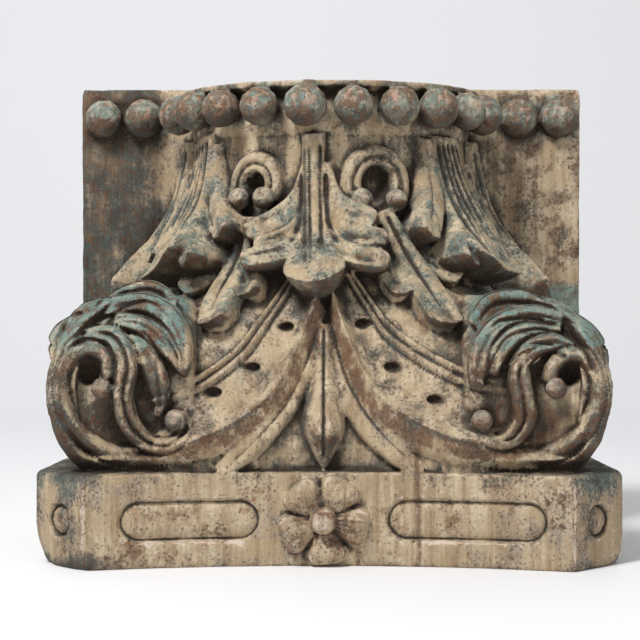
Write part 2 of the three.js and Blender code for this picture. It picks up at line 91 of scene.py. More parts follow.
def spline(stations: np.ndarray, share: np.ndarray) -> np.ndarray:
    """Smooth curve through stations.

    Args:
        stations: One row for each station.
        share: Places along the curve, from 0 to 1.

    Returns:
        One row for each place.
    """
    count = len(stations) - 1
    spot = np.clip(share, 0.0, 1.0) * count
    i = np.minimum(spot.astype(int), count - 1)
    t = (spot - i)[:, None]
    a, b = stations[np.maximum(i - 1, 0)], stations[i]
    c, d = stations[i + 1], stations[np.minimum(i + 2, count)]
    bend = 2 * a - 5 * b + 4 * c - d
    return b + 0.5 * t * (c - a + t * (bend + t * (3 * b - a - 3 * c + d)))


def loft(rings: np.ndarray) -> Mesh:
    """Closed skin over a stack of rings.

    Args:
        rings: Points as rings by points by three.

    Returns:
        Vertices and faces, with a fan over each end.
    """
    rows, count, _ = rings.shape
    points = rings.reshape(-1, 3)
    base = np.arange(rows - 1)[:, None] * count + np.arange(count)[None, :]
    after = np.arange(rows - 1)[:, None] * count + (np.arange(count)[None, :] + 1) % count
    faces = np.stack([base, after, after + count, base + count], -1).reshape(-1, 4).tolist()
    first, last = len(points), len(points) + 1
    points = np.vstack([points, rings[0].mean(0), rings[-1].mean(0)])
    top = (rows - 1) * count
    for i in range(count):
        j = (i + 1) % count
        faces.append([first, j, i])
        faces.append([last, top + i, top + j])
    return points, faces


def joined(meshes: list[Mesh]) -> Mesh:
    """Several meshes laid into one.

    Args:
        meshes: The meshes.

    Returns:
        One mesh with all of them.
    """
    points, faces, start = [], [], 0
    for verts, polys in meshes:
        points.append(verts)
        faces += [[start + k for k in poly] for poly in polys]
        start += len(verts)
    return np.vstack(points), faces


class Lattice:
    """Smooth random field on a lattice, the same each run."""

    def __init__(self, seed: int, size: int = 32) -> None:
        """Draws the lattice values from a fixed seed."""
        self.size = size
        self.values = np.random.default_rng(seed).uniform(-1.0, 1.0, (size, size, size))

    def at(self, points: np.ndarray, scale: float | tuple[float, float, float]) -> np.ndarray:
        """Field value at points.

        Args:
            points: Points in millimetres.
            scale: Millimetres for one lattice step, one number or one for each axis.

        Returns:
            One value between -1 and 1 for each point.
        """
        spot = points / np.asarray(scale) + 1000.0
        cell = np.floor(spot).astype(int)
        t = spot - cell
        t = t * t * (3 - 2 * t)
        total = np.zeros(len(points))
        for corner in np.ndindex(2, 2, 2):
            weight = np.prod(np.where(corner, t, 1 - t), axis=1)
            i, j, k = ((cell + corner) % self.size).T
            total += weight * self.values[i, j, k]
        return total


@dataclass(frozen=True)
class Sizes:
    """Sizes of the block in millimetres, as in the solid."""

    abacus_width: float = 460.0
    abacus_height: float = 73.0
    depth: float = 250.0
    height: float = 390.0
    horn_cut: float = 42.0
    front_hollow: float = 28.0
    side_hollow: float = 10.0
    board_width: float = 440.0
    board_thickness: float = 22.0
    neck_radius: float = 118.0
    neck_height: float = 345.0
    foot_radius: float = 182.0
    corner_swell: float = 64.0
    collar_radius: float = 121.0
    collar_top: float = 376.0
    plate_radius: float = 130.0
    plate_top: float = 385.0
    bead_radius: float = 17.5
    bead_ring: float = 136.0
    bead_height: float = 364.0
    bead_count: int = 10
    bead_step: float = 16.6
    board_bead_first: float = 165.0
    board_bead_gap: float = 35.0
    scroll_spread: float = 163.0
    scroll_reach: float = 56.0
    scroll_rise: float = 75.0
    scroll_height: float = 141.0
    scroll_centre: float = 143.0
    scroll_middle: float = 135.0
    rim_band: float = 11.0
    face_recess: float = 12.0
    face_splay: float = 0.12
    face_shift: float = 6.0

    @property
    def axis_y(self) -> float:
        """Plane of the bell's axis, which is the front of the board."""
        return self.depth / 2 - self.board_thickness

    @property
    def bell_height(self) -> float:
        """Height of the bell above the abacus."""
        return self.neck_height - self.abacus_height

    @property
    def horn_x(self) -> float:
        """Half width of the abacus front between the horn cuts."""
        return self.abacus_width / 2 - self.horn_cut


class Form:
    """The surfaces that the carving lies on."""

    def __init__(self, sizes: Sizes) -> None:
        """Keeps the sizes."""
        self.s = sizes

    def body_radius(self, turn: np.ndarray, z: np.ndarray) -> np.ndarray:
        """Radius of the bell with its corner swell.

        Args:
            turn: Degrees round the axis, 0 at the front.
            z: Heights in millimetres.

        Returns:
            Radii in millimetres.
        """
        s = self.s
        fall = ease((np.maximum(0.0, s.neck_height - z) / s.bell_height) ** 1.3)
        rise = (z - s.abacus_height) / s.bell_height
        swell = s.corner_swell * np.sin(np.radians(2 * turn)) ** 2 * ease((0.67 - rise) / 0.4)
        return s.neck_radius + (s.foot_radius - s.neck_radius) * fall + swell

    def on_bell(self, turn: np.ndarray, share: np.ndarray, lift: np.ndarray) -> np.ndarray:
        """Places on the bell, from degrees, hundredths of its height and millimetres out.

        Args:
            turn: Degrees round the axis, 0 at the front.
            share: Hundredths of the bell's height above the abacus.
            lift: Millimetres out from the surface.

        Returns:
            Places in millimetres.
        """
        s = self.s
        z = s.abacus_height + share * s.bell_height / 100
        radius = self.body_radius(turn, z) + lift
        angle = np.radians(turn)
        return np.stack([radius * np.sin(angle), s.axis_y - radius * np.cos(angle), z + 0 * angle], -1)

    def scroll_reach(self, z: np.ndarray) -> np.ndarray:
        """Half width of the corner block at a height.

        Args:
            z: Heights in millimetres.

        Returns:
            Half widths in millimetres.
        """
        s = self.s
        rise = (z - s.scroll_middle) / s.scroll_rise
        return s.scroll_spread + s.scroll_reach * np.sqrt(np.maximum(0.02, 1 - rise * rise))

    def scroll_face(self, x: np.ndarray, z: np.ndarray) -> np.ndarray:
        """Distance of the sunk scroll face in front of the axis."""
        reach = self.scroll_reach(z)
        return reach - self.s.face_recess - (reach - x) * self.s.face_splay

    def on_scroll(self, side: int, turned: bool) -> Place:
        """Maker of places on one scroll face.

        Args:
            side: -1 for the left corner, 1 for the right.
            turned: Whether it is the face on the side of the capital.

        Returns:
            A function of hundredths across, hundredths up and millimetres out.
        """
        s = self.s

        def place(across: np.ndarray, up: np.ndarray, lift: np.ndarray) -> np.ndarray:
            """Places on this face.

            Args:
                across: Hundredths across.
                up: Hundredths up.
                lift: Millimetres out from the surface.

            Returns:
                Places in millimetres.
            """
            x = s.scroll_spread - s.face_shift + across * s.scroll_height / 100
            z = s.scroll_centre + up * s.scroll_height / 100
            forward = self.scroll_face(x, z) + lift
            if turned:
                return np.stack([side * forward, s.axis_y - x, z], -1)
            return np.stack([side * x, s.axis_y - forward, z], -1)

        return place

    def front_y(self, x: np.ndarray) -> np.ndarray:
        """Hollow front line of the abacus."""
        return -self.s.depth / 2 + self.s.front_hollow * (1 - (x / self.s.horn_x) ** 2)

    def on_front(self, x: np.ndarray, z: np.ndarray, lift: np.ndarray) -> np.ndarray:
        """Places on the abacus front."""
        return np.stack([x, self.front_y(x) - lift, z], -1)


@dataclass(frozen=True)
class Cut:
    """One carved stroke: its stations and the shape of its section.

    Stations are (u, v, lift, half width). Grooves are (place across, half width, depth, start,
    end), with the place from -1 to 1, depths in millimetres and start and end along the stroke.
    Veins are (place across, half width, depth) in millimetres, cut once the skin is whole.
    """

    stations: tuple
    grooves: tuple = ()
    veins: tuple = ()
    dish: float = 0.0
    nose: float = 0.0
    bulge: float = 0.0
    roll: float = 0.0
    square: float = 3.2
    tuck: float = 0.8
    root: float = 5.0
    lip: float = 28.0


class Gouge:
    """Cuts strokes and strips on a surface."""

    pitch = 1.5
    nose_steps = 12

    def stroke(self, place: Place, scale: float, cut: Cut) -> Mesh:
        """Closed mesh of one stroke.

        Args:
            place: The surface that the stroke lies on.
            scale: Millimetres for one unit of lift and half width.
            cut: The stroke.

        Returns:
            Vertices in millimetres, and faces.
        """
        stations = np.array(cut.stations, float)
        rough = place(*spline(stations, np.linspace(0, 1, 60))[:, :3].T * np.array([[1], [1], [scale]]))
        length = np.linalg.norm(np.diff(rough, axis=0), axis=1).sum()
        share = np.linspace(0, 1, max(8, int(length / self.pitch)))
        u, v, lift, half = spline(stations, share).T
        lift, half = lift * scale, half * scale
        foot = place(u, v, 0 * u)
        out = unit(place(u, v, 0 * u + 1) - foot)
        ahead = unit(np.gradient(foot + out * lift[:, None], axis=0))
        side = unit(np.cross(ahead, out))
        drop = unit(ahead - out * (ahead * out).sum(1, keepdims=True))
        fall = np.ones(len(u))
        bulge = cut.bulge * scale * ease((share - 0.55) / 0.45)
        if cut.nose > 0:
            turns = np.radians(np.linspace(cut.lip, 86, self.nose_steps))[1:]
            base = math.radians(cut.lip)
            run = cut.nose * scale * (np.sin(turns) - math.sin(base)) / (1 - math.sin(base))
            more = np.cos(turns) / math.cos(base)
            foot = np.vstack([foot, foot[-1] + drop[-1] * run[:, None]])
            out, side, drop = (np.vstack([a, np.repeat(a[-1:], len(turns), 0)]) for a in (out, side, drop))
            lift, bulge, share = (np.append(a, np.full(len(turns), a[-1])) for a in (lift, bulge, share))
            half = np.append(half, half[-1] * np.sqrt(more))
            fall = np.append(fall, more)
        across = max(16, int(2.4 * half.max() / self.pitch) + 10)
        even = np.linspace(-1, 1, across)
        s = 0.5 * even + 0.5 * np.sin(even * math.pi / 2)
        shape = (1 - np.abs(s) ** cut.square) ** (1 / cut.square)
        height = (lift[:, None] + cut.root) * shape[None, :]
        grown = ease(share / 0.7)[:, None]
        relief = -cut.dish * grown * (1 - s[None, :] ** 2) + cut.roll * s[None, :] * half[:, None]
        for at, wide, deep, start, end in cut.grooves:
            reach = ease((share - start) / 0.12) * ease((end - share) / 0.12)
            relief = relief - deep * reach[:, None] * np.exp(-(((s[None, :] - at) / wide) ** 2))
        height = (height + relief * shape[None, :] ** 0.5) * fall[:, None] - cut.root
        spread = s[None, :] * half[:, None]
        push = bulge[:, None] * (1 - s[None, :] ** 2) ** 0.75
        top = (foot[:, None] + side[:, None] * spread[..., None] + out[:, None] * height[..., None]
               + drop[:, None] * push[..., None])
        base_s = np.array([cut.tuck, -cut.tuck])
        low = (foot[:, None] + side[:, None] * (base_s[None, :] * half[:, None])[..., None]
               - out[:, None] * (cut.root + 1.0))
        return loft(np.concatenate([top, low], 1))

    def strip(self, place: Place, upper: tuple, lower: tuple, profile: tuple, root: float = 8.0) -> Mesh:
        """Closed mesh of a broad band between two lines.

        Args:
            place: The surface that the band lies on.
            upper: Stations (u, v, lift) of its upper line.
            lower: Stations of its lower line.
            profile: Places (share across, lift in millimetres) of its section.
            root: Millimetres that it reaches under the surface.

        Returns:
            Vertices in millimetres, and faces.
        """
        share = np.linspace(0, 1, 160)
        a, b = spline(np.array(upper, float), share), spline(np.array(lower, float), share)
        across = np.linspace(0, 1, 72)
        lift = np.interp(across, [p[0] for p in profile], [p[1] for p in profile])
        mix = a[:, None] * (1 - across)[None, :, None] + b[:, None] * across[None, :, None]
        fade = ease((1 - share) / 0.2)[:, None]
        top = place(mix[..., 0], mix[..., 1], mix[..., 2] + lift[None, :] * fade)
        low = place(mix[:, [-1, 0], 0], mix[:, [-1, 0], 1], mix[:, [-1, 0], 2] * 0 - root)
        return loft(np.concatenate([top, low], 1))


def ball(centre: np.ndarray, radius: float, rings: int = 14, sides: int = 22) -> Mesh:
    """Round ball as a closed mesh.

    Args:
        centre: Its centre in millimetres.
        radius: Its radius in millimetres.
        rings: Rings from pole to pole.
        sides: Points in a ring.

    Returns:
        Vertices in millimetres, and faces.
    """
    tilt = np.linspace(0.02, math.pi - 0.02, rings)
    turn = np.linspace(0, 2 * math.pi, sides, endpoint=False)
    flat = np.sin(tilt)[:, None]
    points = np.stack([flat * np.cos(turn), flat * np.sin(turn), -np.cos(tilt)[:, None] + 0 * turn], -1)
    return loft(points * radius + centre)


def mesh_object(name: str, mesh: Mesh) -> bpy.types.Object:
    """Blender object of a mesh given in millimetres.

    Args:
        name: Its name.
        mesh: Its points in millimetres, and its faces.

    Returns:
        The object, linked to the scene.
    """
    data = bpy.data.meshes.new(name)
    data.from_pydata((mesh[0] * MM).tolist(), [], mesh[1])
    data.update()
    thing = bpy.data.objects.new(name, data)
    bpy.context.scene.collection.objects.link(thing)
    return thing


def modified(thing: bpy.types.Object, kind: str, settings: dict) -> None:
    """Runs one modifier on an object and keeps the result as its plain mesh.

    Args:
        thing: The object.
        kind: The modifier's type.
        settings: Its values by name.
    """
    modifier = thing.modifiers.new(kind.title(), kind)
    for name, value in settings.items():
        setattr(modifier, name, value)
    settled(thing)


def settled(thing: bpy.types.Object) -> None:
    """Swaps an object's mesh for what its modifiers make of it.

    Args:
        thing: The object.
    """
    graph = bpy.context.evaluated_depsgraph_get()
    data = bpy.data.meshes.new_from_object(thing.evaluated_get(graph), depsgraph=graph)
    thing.modifiers.clear()
    old, thing.data = thing.data, data
    bpy.data.meshes.remove(old)


def points_of(data: bpy.types.Mesh) -> np.ndarray:
    """Mesh points in millimetres.

    Args:
        data: The mesh.

    Returns:
        One row for each point.
    """
    flat = np.empty(len(data.vertices) * 3)
    data.vertices.foreach_get("co", flat)
    return flat.reshape(-1, 3) / MM


def normals_of(data: bpy.types.Mesh) -> np.ndarray:
    """Outward direction at each mesh point.

    Args:
        data: The mesh.

    Returns:
        One row for each point.
    """
    flat = np.empty(len(data.vertices) * 3, np.float32)
    data.vertex_normals.foreach_get("vector", flat)
    return flat.reshape(-1, 3).astype(float)


def set_points(data: bpy.types.Mesh, points: np.ndarray) -> None:
    """Moves mesh points to places given in millimetres."""
    data.vertices.foreach_set("co", (points * MM).astype(np.float32).ravel())
    data.update()


class Web:
    """Neighbours of the points of a mesh."""

    def __init__(self, data: bpy.types.Mesh) -> None:
        """Reads the edges.

        Args:
            data: The mesh.
        """
        edges = np.empty(len(data.edges) * 2, np.int64)
        data.edges.foreach_get("vertices", edges)
        a, b = edges.reshape(-1, 2).T
        self.count = len(data.vertices)
        self.near, self.far = np.concatenate([a, b]), np.concatenate([b, a])
        self.degree = np.maximum(np.bincount(self.near, minlength=self.count), 1)

    def soften(self, values: np.ndarray, times: int) -> np.ndarray:
        """Averages each value with its neighbours several times.

        Args:
            values: One value or row for each mesh point.
            times: How often.

        Returns:
            The softened values.
        """
        table = values.reshape(self.count, -1).astype(float)
        for _ in range(times):
            mean = np.stack([
                np.bincount(self.near, column[self.far], self.count) / self.degree for column in table.T
            ], 1)
            table = 0.5 * table + 0.5 * mean
        return table.reshape(values.shape)


class Side(Enum):
    """The two corners of the front."""

    LEFT = -1
    RIGHT = 1


class Part:
    """A part of the carved block."""

    def build(self) -> list[Mesh]:
        """Closed meshes of the part, in millimetres."""
        return []

    def carve(self, points: np.ndarray, normals: np.ndarray) -> np.ndarray:
        """Shift of each skin point where this part is cut in."""
        return np.zeros_like(points)

    def dress(self, points: np.ndarray, normals: np.ndarray) -> np.ndarray:
        """Columns of teal, ochre, and dirt with painted shade, for each skin point, from 0 to 1."""
        return np.zeros((len(points), 3))


def near_lines(points: np.ndarray, lines: list[np.ndarray], reach: float) -> np.ndarray:
    """How near points are to lines.

    Args:
        points: Points in millimetres.
        lines: Lines as rows of places.
        reach: Distance at which the value has faded.

    Returns:
        1 on a line, falling to 0.
    """
    spots = np.vstack(lines)
    tree = KDTree(len(spots))
    for i, spot in enumerate(spots):
        tree.insert(spot, i)
    tree.balance()
    low, high = spots.min(0) - 2 * reach, spots.max(0) + 2 * reach
    near = np.flatnonzero(((points > low) & (points < high)).all(1))
    value = np.zeros(len(points))
    value[near] = [math.exp(-(tree.find(points[i])[2] / reach) ** 2) for i in near]
    return value


def engraved(spots: np.ndarray, bare: np.ndarray, lines: list[Vein]) -> np.ndarray:
    """Depth of narrow cuts along lines.

    Args:
        spots: Places on the flattened surface with their lift, in millimetres.
        bare: Which points may be cut.
        lines: Each line as rows of such places, its half width and its depth.

    Returns:
        Depth in millimetres at each point.
    """
    depth = np.zeros(len(spots))
    for line, wide, deep in lines:
        low = line.min(0) - [3 * wide, 3 * wide, 10]
        high = line.max(0) + [3 * wide, 3 * wide, 30]
        near = np.flatnonzero(bare & ((spots > low) & (spots < high)).all(1))
        if not len(near):
            continue
        gap = np.hypot(spots[near, None, 0] - line[None, :, 0], spots[near, None, 1] - line[None, :, 1])
        spot = gap.argmin(1)
        along = spot / (len(line) - 1)
        ends = ease(along / 0.1) * ease((0.94 - along) / 0.12)
        reach = ends * ease((spots[near, 2] - line[spot, 2] + 11) / 4)
        depth[near] = np.maximum(depth[near], deep * reach * np.exp(-((gap.min(1) / wide) ** 2)))
    return depth


def vein_rows(cut: Cut, scale: float) -> tuple[np.ndarray, list[tuple[np.ndarray, float, float]]]:
    """Middle line of a stroke and the offsets of its veins.

    Args:
        cut: The stroke.
        scale: Millimetres for one unit of lift and half width.

    Returns:
        Rows of its middle line, and for each vein its offsets, half width and depth.
    """
    rows = spline(np.array(cut.stations, float), np.linspace(0.02, 0.99, 90))
    return rows, [(at * rows[:, 3] * scale, wide, deep) for at, wide, deep in cut.veins]


def beside(line: np.ndarray, offset: np.ndarray) -> np.ndarray:
    """Line moved aside on the flattened surface."""
    ahead = unit(np.gradient(line[:, :2], axis=0))
    return line + np.stack([ahead[:, 1] * offset, -ahead[:, 0] * offset, 0 * offset], 1)


@dataclass
class Abacus(Part):
    """Slab at the foot with hollow front and sides, cut horns, sunk panels, discs and a flower."""

    form: Form
    panels: tuple = ((-158.0, -57.0), (49.0, 165.0))
    panel_half: float = 12.5
    groove: float = 3.5
    groove_depth: float = 4.5
    disc_radius: float = 9.5
    flower_x: float = -4.0
    flower_radius: float = 35.0
    flower_ball: float = 10.5
    petals: int = 5
    worn_corners: tuple = (((-230.0, -83.0, 0.0), 16.0, 7.0), ((230.0, -83.0, 0.0), 10.0, 3.5),
                           ((-188.0, -125.0, 0.0), 9.0, 3.0), ((188.0, -125.0, 73.0), 8.0, 3.0),
                           ((-60.0, -122.0, 73.0), 7.0, 2.0), ((120.0, -115.0, 0.0), 9.0, 2.0))
    worn_from: tuple = (0.0, 0.0, 36.0)
    petal_start: float = 60.0
    petal_rows: tuple = ((0.12, 9, 5), (0.38, 10, 10), (0.72, 14, 16), (0.93, 12, 14), (1.0, 7, 9))
    petal_grooves: tuple = (-0.62, -0.3, 0.0, 0.3, 0.62)
    flower_lift: float = 8.5
    edge: float = 1.6
    edge_height: float = 3.0
    edge_span: float = 200.0
    cushion: float = 1.8
    cushion_edge: float = 7.0
    skin: float = 2.5
    bare_top: float = 3.0

    def plan(self) -> np.ndarray:
        """Outline of the slab seen from above.

        Returns:
            Points in millimetres, one row each.
        """
        s = self.form.s
        x = np.linspace(-s.horn_x, s.horn_x, 121)
        front = np.stack([x, self.form.front_y(x)], 1)
        share = np.linspace(0, 1, 40)
        horn_y = s.horn_cut - s.depth / 2
        half = s.abacus_width / 2 - s.side_hollow * share * (2 - share)
        side = np.stack([half, horn_y + (s.depth / 2 - horn_y) * share], 1)
        return np.vstack([front, side, (side * [-1, 1])[::-1]])

    def build(self) -> list[Mesh]:
        """Slab, petals and the ball of the flower.

        Returns:
            Closed meshes in millimetres.
        """
        s, plan = self.form.s, self.plan()
        levels = np.linspace(0, s.abacus_height, 40)
        inset = self.edge * (1 - ease(np.minimum(levels, s.abacus_height - levels) / self.edge_height))
        rings = np.stack([
            np.column_stack([plan - plan / self.edge_span * d, np.full(len(plan), z)])
            for z, d in zip(levels, inset)
        ])
        gouge, z0 = Gouge(), s.abacus_height / 2
        meshes = [loft(rings)]
        for i in range(self.petals):
            turn = math.radians(self.petal_start + 360 * i / self.petals)
            rows = tuple(
                (self.flower_x + self.flower_radius * r * math.cos(turn),
                 z0 + self.flower_radius * r * math.sin(turn), lift, half)
                for r, lift, half in self.petal_rows
            )
            grooves = tuple((at, 0.1, 2.0, 0.05, 1.1) for at in self.petal_grooves)
            petal = Cut(rows, grooves, dish=2.5, square=2.6, root=4)
            meshes.append(gouge.stroke(self.form.on_front, 1.0, petal))
        centre = self.form.on_front(np.array(self.flower_x), np.array(z0), np.array(self.flower_lift))
        meshes.append(ball(centre, self.flower_ball))
        return meshes

    def panel_gap(self, x: np.ndarray, z: np.ndarray) -> np.ndarray:
        """Distance outside the nearest panel's edge, negative inside it.

        Args:
            x: Places across in millimetres.
            z: Heights in millimetres.

        Returns:
            Distances in millimetres.
        """
        gap = np.full(len(x), 1e3)
        for x0, x1 in self.panels:
            run = np.maximum(np.abs(x - (x0 + x1) / 2) - ((x1 - x0) / 2 - self.panel_half), 0)
            gap = np.minimum(gap, np.hypot(run, z - self.form.s.abacus_height / 2) - self.panel_half)
        return gap

    def sink(self, gap: np.ndarray) -> np.ndarray:
        """Depth of the groove and of the rounded cushion in it."""
        groove = self.groove_depth * ease(1 - np.abs(gap - self.groove / 2) / (self.groove * 0.75))
        return groove + self.cushion * ease(1 + gap / self.cushion_edge) * (gap < 0)

    def carve(self, points: np.ndarray, normals: np.ndarray) -> np.ndarray:
        """Sinks the panels and the discs.

        Args:
            points: Skin points in millimetres, one row each.
            normals: Outward direction at each point.

        Returns:
            Shift of each point in millimetres.
        """
        s = self.form.s
        x, y, z = points.T
        shift = np.zeros_like(points)
        below = z < s.abacus_height - self.bare_top
        front = (np.abs(y - self.form.front_y(x)) < self.skin) & (normals[:, 1] < -0.5) & below
        shift[front, 1] = self.sink(self.panel_gap(x, z))[front]
        run, back = np.abs(x) - s.horn_x, y + s.depth / 2
        along, off = (run + back) * math.sqrt(0.5), (run - back) * math.sqrt(0.5)
        horn = (np.abs(off) < self.skin) & below & (run > -1)
        gap = np.hypot(along - s.horn_cut * math.sqrt(0.5), z - s.abacus_height / 2) - self.disc_radius
        depth = self.sink(gap) * horn * math.sqrt(0.5)
        shift[:, 0] -= np.sign(x) * depth
        shift[:, 1] += depth
        for spot, reach, amount in self.worn_corners:
            worn = amount * np.exp(-((np.linalg.norm(points - spot, axis=1) / reach) ** 2))
            shift -= unit(np.array(spot) - self.worn_from) * worn[:, None]
        return shift

    def dress(self, points: np.ndarray, normals: np.ndarray) -> np.ndarray:
        """Ochre in the flower and teal left about the horns.

        Args:
            points: Skin points in millimetres, one row each.
            normals: Not used.

        Returns:
            Teal, ochre and grime of each point, from 0 to 1.
        """
        x, y, z = points.T
        far = np.hypot(x - self.flower_x, z - self.form.s.abacus_height / 2)
        front = (y < -70) & (z < 76)
        ochre = ease(1.3 - far / 34) * front * 0.55
        slab = (z < 74) * (y < 0)
        teal = (0.35 * ease((np.abs(x) - 180) / 20) + 0.3 * ease((z - 50) / 20)) * slab
        ends = 0.5 * ease((-x - 160) / 20) + 0.34 * ease((x - 166) / 16)
        edge = 0.42 * ease(1 - np.minimum(z, 73 - z) / 13)
        grime_and_shade = 0.5 * ease(1.3 - far / 34) * front + (ends + edge) * slab
        return np.stack([teal, ochre, grime_and_shade], 1)


# Leaves of the bell: degrees round it, then hundredths of its height.
FLUTES = tuple((at, 2.8, 4.2) for at in (-0.68, -0.32, 0.04, 0.4, 0.74))
TIP = {"nose": 6.6, "bulge": 4.2, "square": 4.4, "lip": 44.0, "tuck": 0.7, "dish": 4.5}
LOBE = {"nose": 3.6, "bulge": 2.0, "square": 4.0, "lip": 38.0, "dish": 3.8, "tuck": 0.65,
        "veins": ((0.3, 1.5, 1.6),)}
MIDRIB = {"veins": ((0.05, 2.0, 3.6),)}
LEAVES = (
    Cut(((-6.5, 99, 3, 3.6), (-6, 82, 5.5, 3.7), (-5.3, 71, 9, 4.8), (-4.7, 65, 13.5, 8.4),
         (-4.2, 58.8, 17, 9.8)), **TIP),
    Cut(((-8.5, 90, 2, 2), (-11, 80.5, 5, 3), (-16, 74, 9.5, 3.9), (-23.5, 69.8, 14, 3.8)), **LOBE),
    Cut(((-7.5, 79, 5, 2), (-9, 72.5, 8.5, 2.9), (-13, 67.8, 12, 3.4), (-19.5, 65.5, 15, 3)), **LOBE),
    Cut(((-7, 71, 8, 2), (-9.5, 66.5, 12, 3.2), (-14.5, 62.6, 15, 4), (-22, 61, 17, 3.8)), **LOBE),
    Cut(((-2, 90, 2, 2), (0.8, 81, 5, 3), (5, 76, 9.5, 3.9), (12, 73.5, 13.5, 3.5)), **LOBE),
    Cut(((-2.4, 79, 5, 2), (1.2, 72.5, 8.5, 2.9), (6.5, 68.5, 12, 3.6), (14.5, 67.3, 15, 3.4)), **LOBE),
    Cut(((-2.2, 71, 8, 2), (1.5, 66, 12, 3.2), (6.8, 62.2, 15, 4), (14, 60.6, 17, 3.8)), **LOBE),
    Cut(((-62, 99, 3, 6.5), (-57, 84, 8, 8), (-54, 71, 15, 10), (-49.5, 62, 24, 12)), veins=FLUTES, **TIP),
    Cut(((-54, 96, 3, 3), (-47, 83, 7, 4), (-41.5, 75.5, 11, 4.6), (-35, 70, 15, 4.4)), **LOBE),
    Cut(((-53, 82, 6, 3.5), (-48, 72.5, 13, 4.4), (-44, 66, 18, 5), (-39.5, 61.8, 22, 4.8)), **LOBE),
    Cut(((-64, 86, 5, 3.5), (-66, 76, 9, 4.5), (-65.5, 68.5, 13, 5), (-62.5, 63, 17, 4.4)), **LOBE),
    Cut(((52, 99, 3, 6.5), (52, 84, 8, 8), (52, 71, 15, 10), (49.8, 62, 24, 12)), veins=FLUTES, **TIP),
    Cut(((42, 98, 2, 3.2), (39.5, 85, 7, 4.2), (36.5, 77, 11, 4.8), (32, 70, 15, 4.8)), **LOBE),
    Cut(((46, 82, 6, 3.5), (45.5, 72.5, 13, 4.4), (43, 66.5, 17, 5), (40, 62, 21, 4.8)), **LOBE),
    Cut(((62, 86, 5, 3.5), (65, 76, 9, 4.5), (64.5, 68.5, 13, 5), (61.5, 63, 17, 4.4)), **LOBE),
    Cut(((-88, 99, 4, 5), (-87, 80, 8, 6), (-85, 65, 15, 8), (-78.5, 54, 22, 8)), veins=FLUTES[::2], **TIP),
    Cut(((88, 99, 4, 5), (87, 80, 8, 6), (85, 65, 15, 8), (78.5, 54, 22, 8)), veins=FLUTES[::2], **TIP),
)
LEAFLETS = (
    Cut(((-33, 70, 3, 3), (-35.5, 63, 4, 4), (-39.5, 57.5, 7, 4.3), (-42, 53.5, 10, 4)), **LOBE),
    Cut(((-31, 74, 4, 3), (-31, 60, 6, 4.6), (-30.5, 51, 9, 5.6), (-29, 44.5, 12, 5)), **(LOBE | MIDRIB)),
    Cut(((-31, 70, 3, 3), (-28.5, 61, 4, 4), (-25.5, 56.5, 7, 4.3), (-23.5, 53, 10, 3.8)), **LOBE),
    Cut(((22, 71, 3, 3), (19.5, 62.5, 4, 4), (20, 57.5, 7, 4.3), (20.5, 53, 10, 4)), **LOBE),
    Cut(((20, 76, 4, 3), (26, 63, 6, 4.6), (28.5, 52, 9, 5.6), (29, 44.5, 12, 5.3)), **(LOBE | MIDRIB)),
    Cut(((26, 72, 3, 3), (32, 64.5, 4, 4), (35.5, 60.5, 7, 4.3), (38.5, 57, 10, 4)), **LOBE),
)
# Single cuts on the bell: degrees, hundredths up and lift, then half width and depth.
LINES = (
    (((-9.6, 97, 3), (-9, 82, 5.5), (-7.9, 71, 9), (-6.9, 63, 14), (-6.5, 56.5, 17)), 2.2, 4.2),
    (((-7.8, 97, 3), (-7.2, 82, 5.5), (-6.3, 71, 9), (-5.6, 63, 14), (-5.1, 56, 17)), 1.9, 3.4),
    (((-3.6, 97, 3), (-3.3, 82, 5.5), (-2.7, 71, 9), (-2.1, 63, 14)), 2.2, 4.2),
    (((-10.6, 88, 3), (-9.8, 76, 7), (-10, 70, 10), (-12, 64.5, 14)), 2.4, 4.6),
    (((-1.6, 88, 3), (-0.8, 76, 7), (0.4, 70, 10), (3.4, 64.5, 14)), 2.4, 4.6),
)
PETAL = {"square": 3.0, "root": 4.0, "dish": 1.6, "veins": ((-0.2, 1.6, 2.2),)}
BUD = (
    Cut(((-3, 44, 0, 1.5), (-7, 30, 3, 3.4), (-11.5, 18.5, 3.5, 4.4), (-18, 7.5, 3.5, 4.2),
         (-23, 0, 2, 2.4)), **PETAL),
    Cut(((0, 43, 0, 1.5), (3.4, 28, 3, 3.4), (7.8, 17, 3.5, 4.4), (13.5, 8, 3.5, 4.2),
         (20, 0, 2, 2.4)), **PETAL),
    Cut(((-1.6, 42, 2, 1.5), (-1.4, 30, 5, 3.8), (-1.2, 13, 7.5, 6.4), (-1.2, 0, 3, 0.8)), square=2.0,
        veins=((0.0, 1.6, 4.0),)),
)
BORDER = {"square": 2.2, "root": 4.0}
BORDERS = (
    Cut(((-85, 45, 2, 2), (-80, 22, 4, 3.4), (-66, 9, 5, 3.4), (-56, 4, 5, 3.4)), **BORDER),
    Cut(((85, 45, 2, 2), (80, 22, 4, 3.4), (66, 9, 5, 3.4), (56, 4, 5, 3.4)), **BORDER),
)
# Upper and lower line of each front ribbon, with lifts in millimetres.
RIBBONS = (
    (((-11, 62, 0), (-19, 46, 0), (-24, 34, 0), (-33, 24, 0), (-42, 22, -4)),
     ((-1, 46, 0), (-5, 31, 0), (-10.5, 17, 0), (-24, 4.5, 0), (-42, 2, -3))),
    (((4, 64, 0), (12.5, 51, 0), (18.5, 41, 0), (31, 29, 0), (42, 25, -4)),
     ((0, 46, 0), (4, 29, 0), (9.5, 15, 0), (23, 3.5, 0), (42, 1.5, -3))),
)
